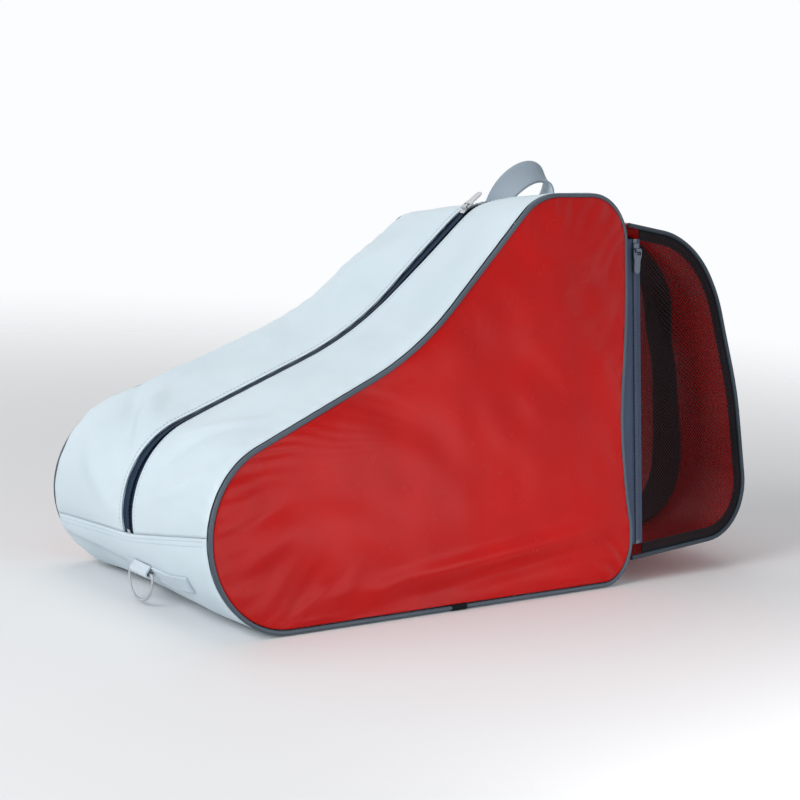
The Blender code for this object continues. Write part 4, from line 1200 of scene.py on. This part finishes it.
def add_net(seam, sign, label, materials):
    """Knitted net of small diamond gaps, with a taped hem inside its seam."""
    border = net_outline(seam, sign, SEAM_INSET)
    step = MESH_PITCH / math.sqrt(2.0)
    size = np.ceil((border.max(0) - border.min(0)) / step).astype(int) + 1
    column, row = np.meshgrid(np.arange(size[0]), np.arange(size[1]), indexing="ij")
    even = (column + row) % 2 == 0
    centres = border.min(0) + np.stack([column[even], row[even]], -1) * step
    corners = np.array([[1.0, 0.0], [0.0, 1.0], [-1.0, 0.0], [0.0, -1.0]])
    outer = centres[:, None] + corners * step
    hole = centres[:, None] + corners * (step - MESH_STRAND / math.sqrt(2.0))
    whole = encloses(border, outer).all(1)
    cells = np.concatenate([outer[whole], hole[whole]], 1).reshape(-1, 2)
    faces = []
    for start in range(0, len(cells), 8):
        for k in range(4):
            after = (k + 1) % 4
            quad = [start + k, start + after, start + 4 + after, start + 4 + k]
            faces.append(quad if sign < 0 else quad[::-1])
    height = net_relief(cells, border)
    vertices = side_point(cells, sign) + side_normal(sign) * height[:, None]
    name = "net_knit_" + label
    net = new_object(name, new_mesh(name, vertices, faces), materials["dark_net"])
    stand_for(net, "dark_net", "pocket_net_" + label)

    outer = net_outline(seam, sign, 0.5 * CORD_RADIUS)
    inner = net_outline(seam, sign, SEAM_INSET + HEM_WIDTH)
    share = np.linspace(0.0, 1.0, TAPE_STEPS)[None, :, None]
    band = side_point(outer[:, None] * (1.0 - share) + inner[:, None] * share, sign)
    band = band - side_normal(sign) * (GAP + TAPE)
    half = TAPE / 2.0
    add_sheet("hem_tape_" + label, "pocket_hem_" + label, "black_webbing", band, -half, half, materials)
    out = np.broadcast_to(side_normal(sign), (len(border), 3))
    middle = net_outline(seam, sign, SEAM_INSET + HEM_ROW_SHARE * HEM_WIDTH)
    add_stitches("hem_stitches_" + label, [(side_point(middle, sign), out)], "black_webbing", materials)


def add_side_zip(materials):
    """Tapes of the zip on the left heel seam; the bag's tape fills up to the bowed piping."""
    low = POCKET_BOTTOM + SIDE_ZIP_MARGIN
    high = POCKET_TOP - SIDE_ZIP_MARGIN
    z = np.linspace(low, high, SIDE_ZIP_STEPS)[:, None]
    bag_end = LENGTH + SEAM_INSET + SIDE_TAPE_WIDTH
    net_edge = bag_end + COIL_WIDTH + 2.0 * GAP
    under_cord = LENGTH - CORD_SINK + heel_bow(z)
    spans = (("bag", under_cord, bag_end), ("net", net_edge, net_edge + SIDE_TAPE_WIDTH))
    share = np.linspace(0.0, 1.0, TAPE_STEPS)[None]
    half = TAPE / 2.0
    for label, first, last in spans:
        flat = np.stack(np.broadcast_arrays(first + (last - first) * share, z), -1)
        grid = side_point(flat, -1)
        add_sheet("side_weave_" + label, "side_zip_tape_" + label, "blue_tape", grid, -half, half, materials)


def make_camera():
    """Camera at the photograph's place, with the photograph's angle of view."""
    data = bpy.data.cameras.new("camera")
    data.sensor_width = SENSOR_WIDTH
    data.lens = CAMERA_FOCAL_PIXELS / PHOTO_PIXELS * SENSOR_WIDTH
    camera = bpy.data.objects.new("camera", data)
    bpy.context.scene.collection.objects.link(camera)
    reach = math.cos(CAMERA_PITCH)
    forward = Vector((math.sin(CAMERA_YAW) * reach, math.cos(CAMERA_YAW) * reach, -math.sin(CAMERA_PITCH)))
    level = Vector((math.cos(CAMERA_YAW), -math.sin(CAMERA_YAW), 0.0))
    up = level.cross(forward)
    right = level * math.cos(CAMERA_ROLL) + up * math.sin(CAMERA_ROLL)
    top = up * math.cos(CAMERA_ROLL) - level * math.sin(CAMERA_ROLL)
    turn = Matrix((right, top, -forward)).transposed()
    camera.matrix_world = Matrix.Translation(CAMERA_PLACE) @ turn.to_4x4()
    bpy.context.scene.camera = camera


def add_light(name, place, target, size, power):
    """Square soft light that points at a target."""
    data = bpy.data.lights.new(name, "AREA")
    data.shape = "SQUARE"
    data.size = size
    data.energy = power
    light = bpy.data.objects.new(name, data)
    bpy.context.scene.collection.objects.link(light)
    turn = (Vector(target) - Vector(place)).to_track_quat("-Z", "Y")
    light.matrix_world = Matrix.Translation(place) @ turn.to_matrix().to_4x4()


def make_floor():
    """Pale floor under the bag, which fades into the white surroundings."""
    far = FLOOR_REACH
    corners = [(-far, -far, 0.0), (far, -far, 0.0), (far, far, 0.0), (-far, far, 0.0)]
    mesh = new_mesh("floor", corners, [(0, 1, 2, 3)], smooth=False)
    material, tree, shader = node_material("floor_paint", FLOOR_COLOUR, FLOOR_ROUGHNESS[0])
    vary_roughness(tree, shader, noise_node(tree, FLOOR_SCALE), *FLOOR_ROUGHNESS)
    distance = add_node(tree, "VectorMath", {0: place_node(tree, "Object")}, operation="LENGTH").outputs["Value"]
    inputs = {"From Min": FLOOR_CLEAR, "From Max": FLOOR_FADE, "Value": distance}
    fade = add_node(tree, "MapRange", inputs, interpolation_type="SMOOTHSTEP").outputs["Result"]
    clear = add_node(tree, "BsdfTransparent", {}).outputs["BSDF"]
    mix = add_node(tree, "MixShader", {"Fac": fade, 1: shader.outputs["BSDF"], 2: clear})
    tree.links.new(mix.outputs["Shader"], tree.nodes["Material Output"].inputs["Surface"])
    mesh.materials.append(material)
    floor = bpy.data.objects.new("floor", mesh)
    bpy.context.scene.collection.objects.link(floor)


def make_world():
    """Even pale surroundings: white where they are seen or mirrored, dimmer as a light."""
    world = bpy.data.worlds.new("studio")
    world.use_nodes = True
    tree = world.node_tree
    background = tree.nodes["Background"]
    background.inputs["Color"].default_value = WORLD_COLOUR
    path = add_node(tree, "LightPath", {})
    seen = path.outputs["Is Camera Ray"]
    for kind in ("Is Glossy Ray", "Is Transmission Ray"):
        seen = add_node(tree, "Math", {0: seen, 1: path.outputs[kind]}, operation="MAXIMUM").outputs["Value"]
    strength = add_node(tree, "MapRange", {"To Min": WORLD_LIGHT, "To Max": 1.0, "Value": seen})
    tree.links.new(strength.outputs["Result"], background.inputs["Strength"])
    bpy.context.scene.world = world


def dress_nodes(materials):
    """Finish of the CAD nodes, by their slots, but darker on the side zip's metal."""
    slots = {entry["node"]: entry["material_slot"] for entry in frame["record"]["subparts"]}
    for name, node in frame["nodes"].items():
        node.data.materials.clear()
        slot = slots[name]
        finish = "dark_metal" if slot == "bright_metal" and name.startswith("side_zip") else slot
        node.data.materials.append(materials[finish])


def main():
    bpy.context.scene.view_settings.view_transform = "Standard"
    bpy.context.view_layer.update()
    make_camera()
    materials = make_materials()
    left, marks = bag_seam(LEFT_HEIGHT, LEFT_CREST_RADIUS)
    right, _ = bag_seam(LEFT_HEIGHT - CROWN_FALL, RIGHT_CREST_RADIUS)
    gusset = Gusset(bowed_heel(left), right, marks)
    add_bag(gusset, materials)
    add_gusset_stitches(gusset, materials)
    add_zip_tapes(gusset, materials)
    add_handle(gusset, materials)
    add_ring_tab(gusset, "nose", gusset.nose_tab, NOSE_TAB_Y, materials)
    add_ring_tab(gusset, "crown", gusset.crown_tab, 0.0, materials)
    add_nose_strip(gusset, materials)
    add_piping_join(materials)
    left, marks = pocket_seam(POCKET_TOP)
    right, _ = pocket_seam(POCKET_TOP - CROWN_FALL)
    add_pocket(Pocket(left, right, marks), materials)
    add_side_zip(materials)
    dress_nodes(materials)
    make_floor()
    make_world()
    for light in LIGHTS:
        add_light(*light)


with open("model.json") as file:
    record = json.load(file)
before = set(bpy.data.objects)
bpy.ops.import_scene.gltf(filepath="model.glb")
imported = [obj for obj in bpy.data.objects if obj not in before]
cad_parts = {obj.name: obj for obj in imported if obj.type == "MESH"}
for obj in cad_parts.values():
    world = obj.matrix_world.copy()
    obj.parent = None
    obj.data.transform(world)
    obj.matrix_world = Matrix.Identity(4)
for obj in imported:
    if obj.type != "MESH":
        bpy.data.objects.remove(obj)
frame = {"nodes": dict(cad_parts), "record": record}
main()
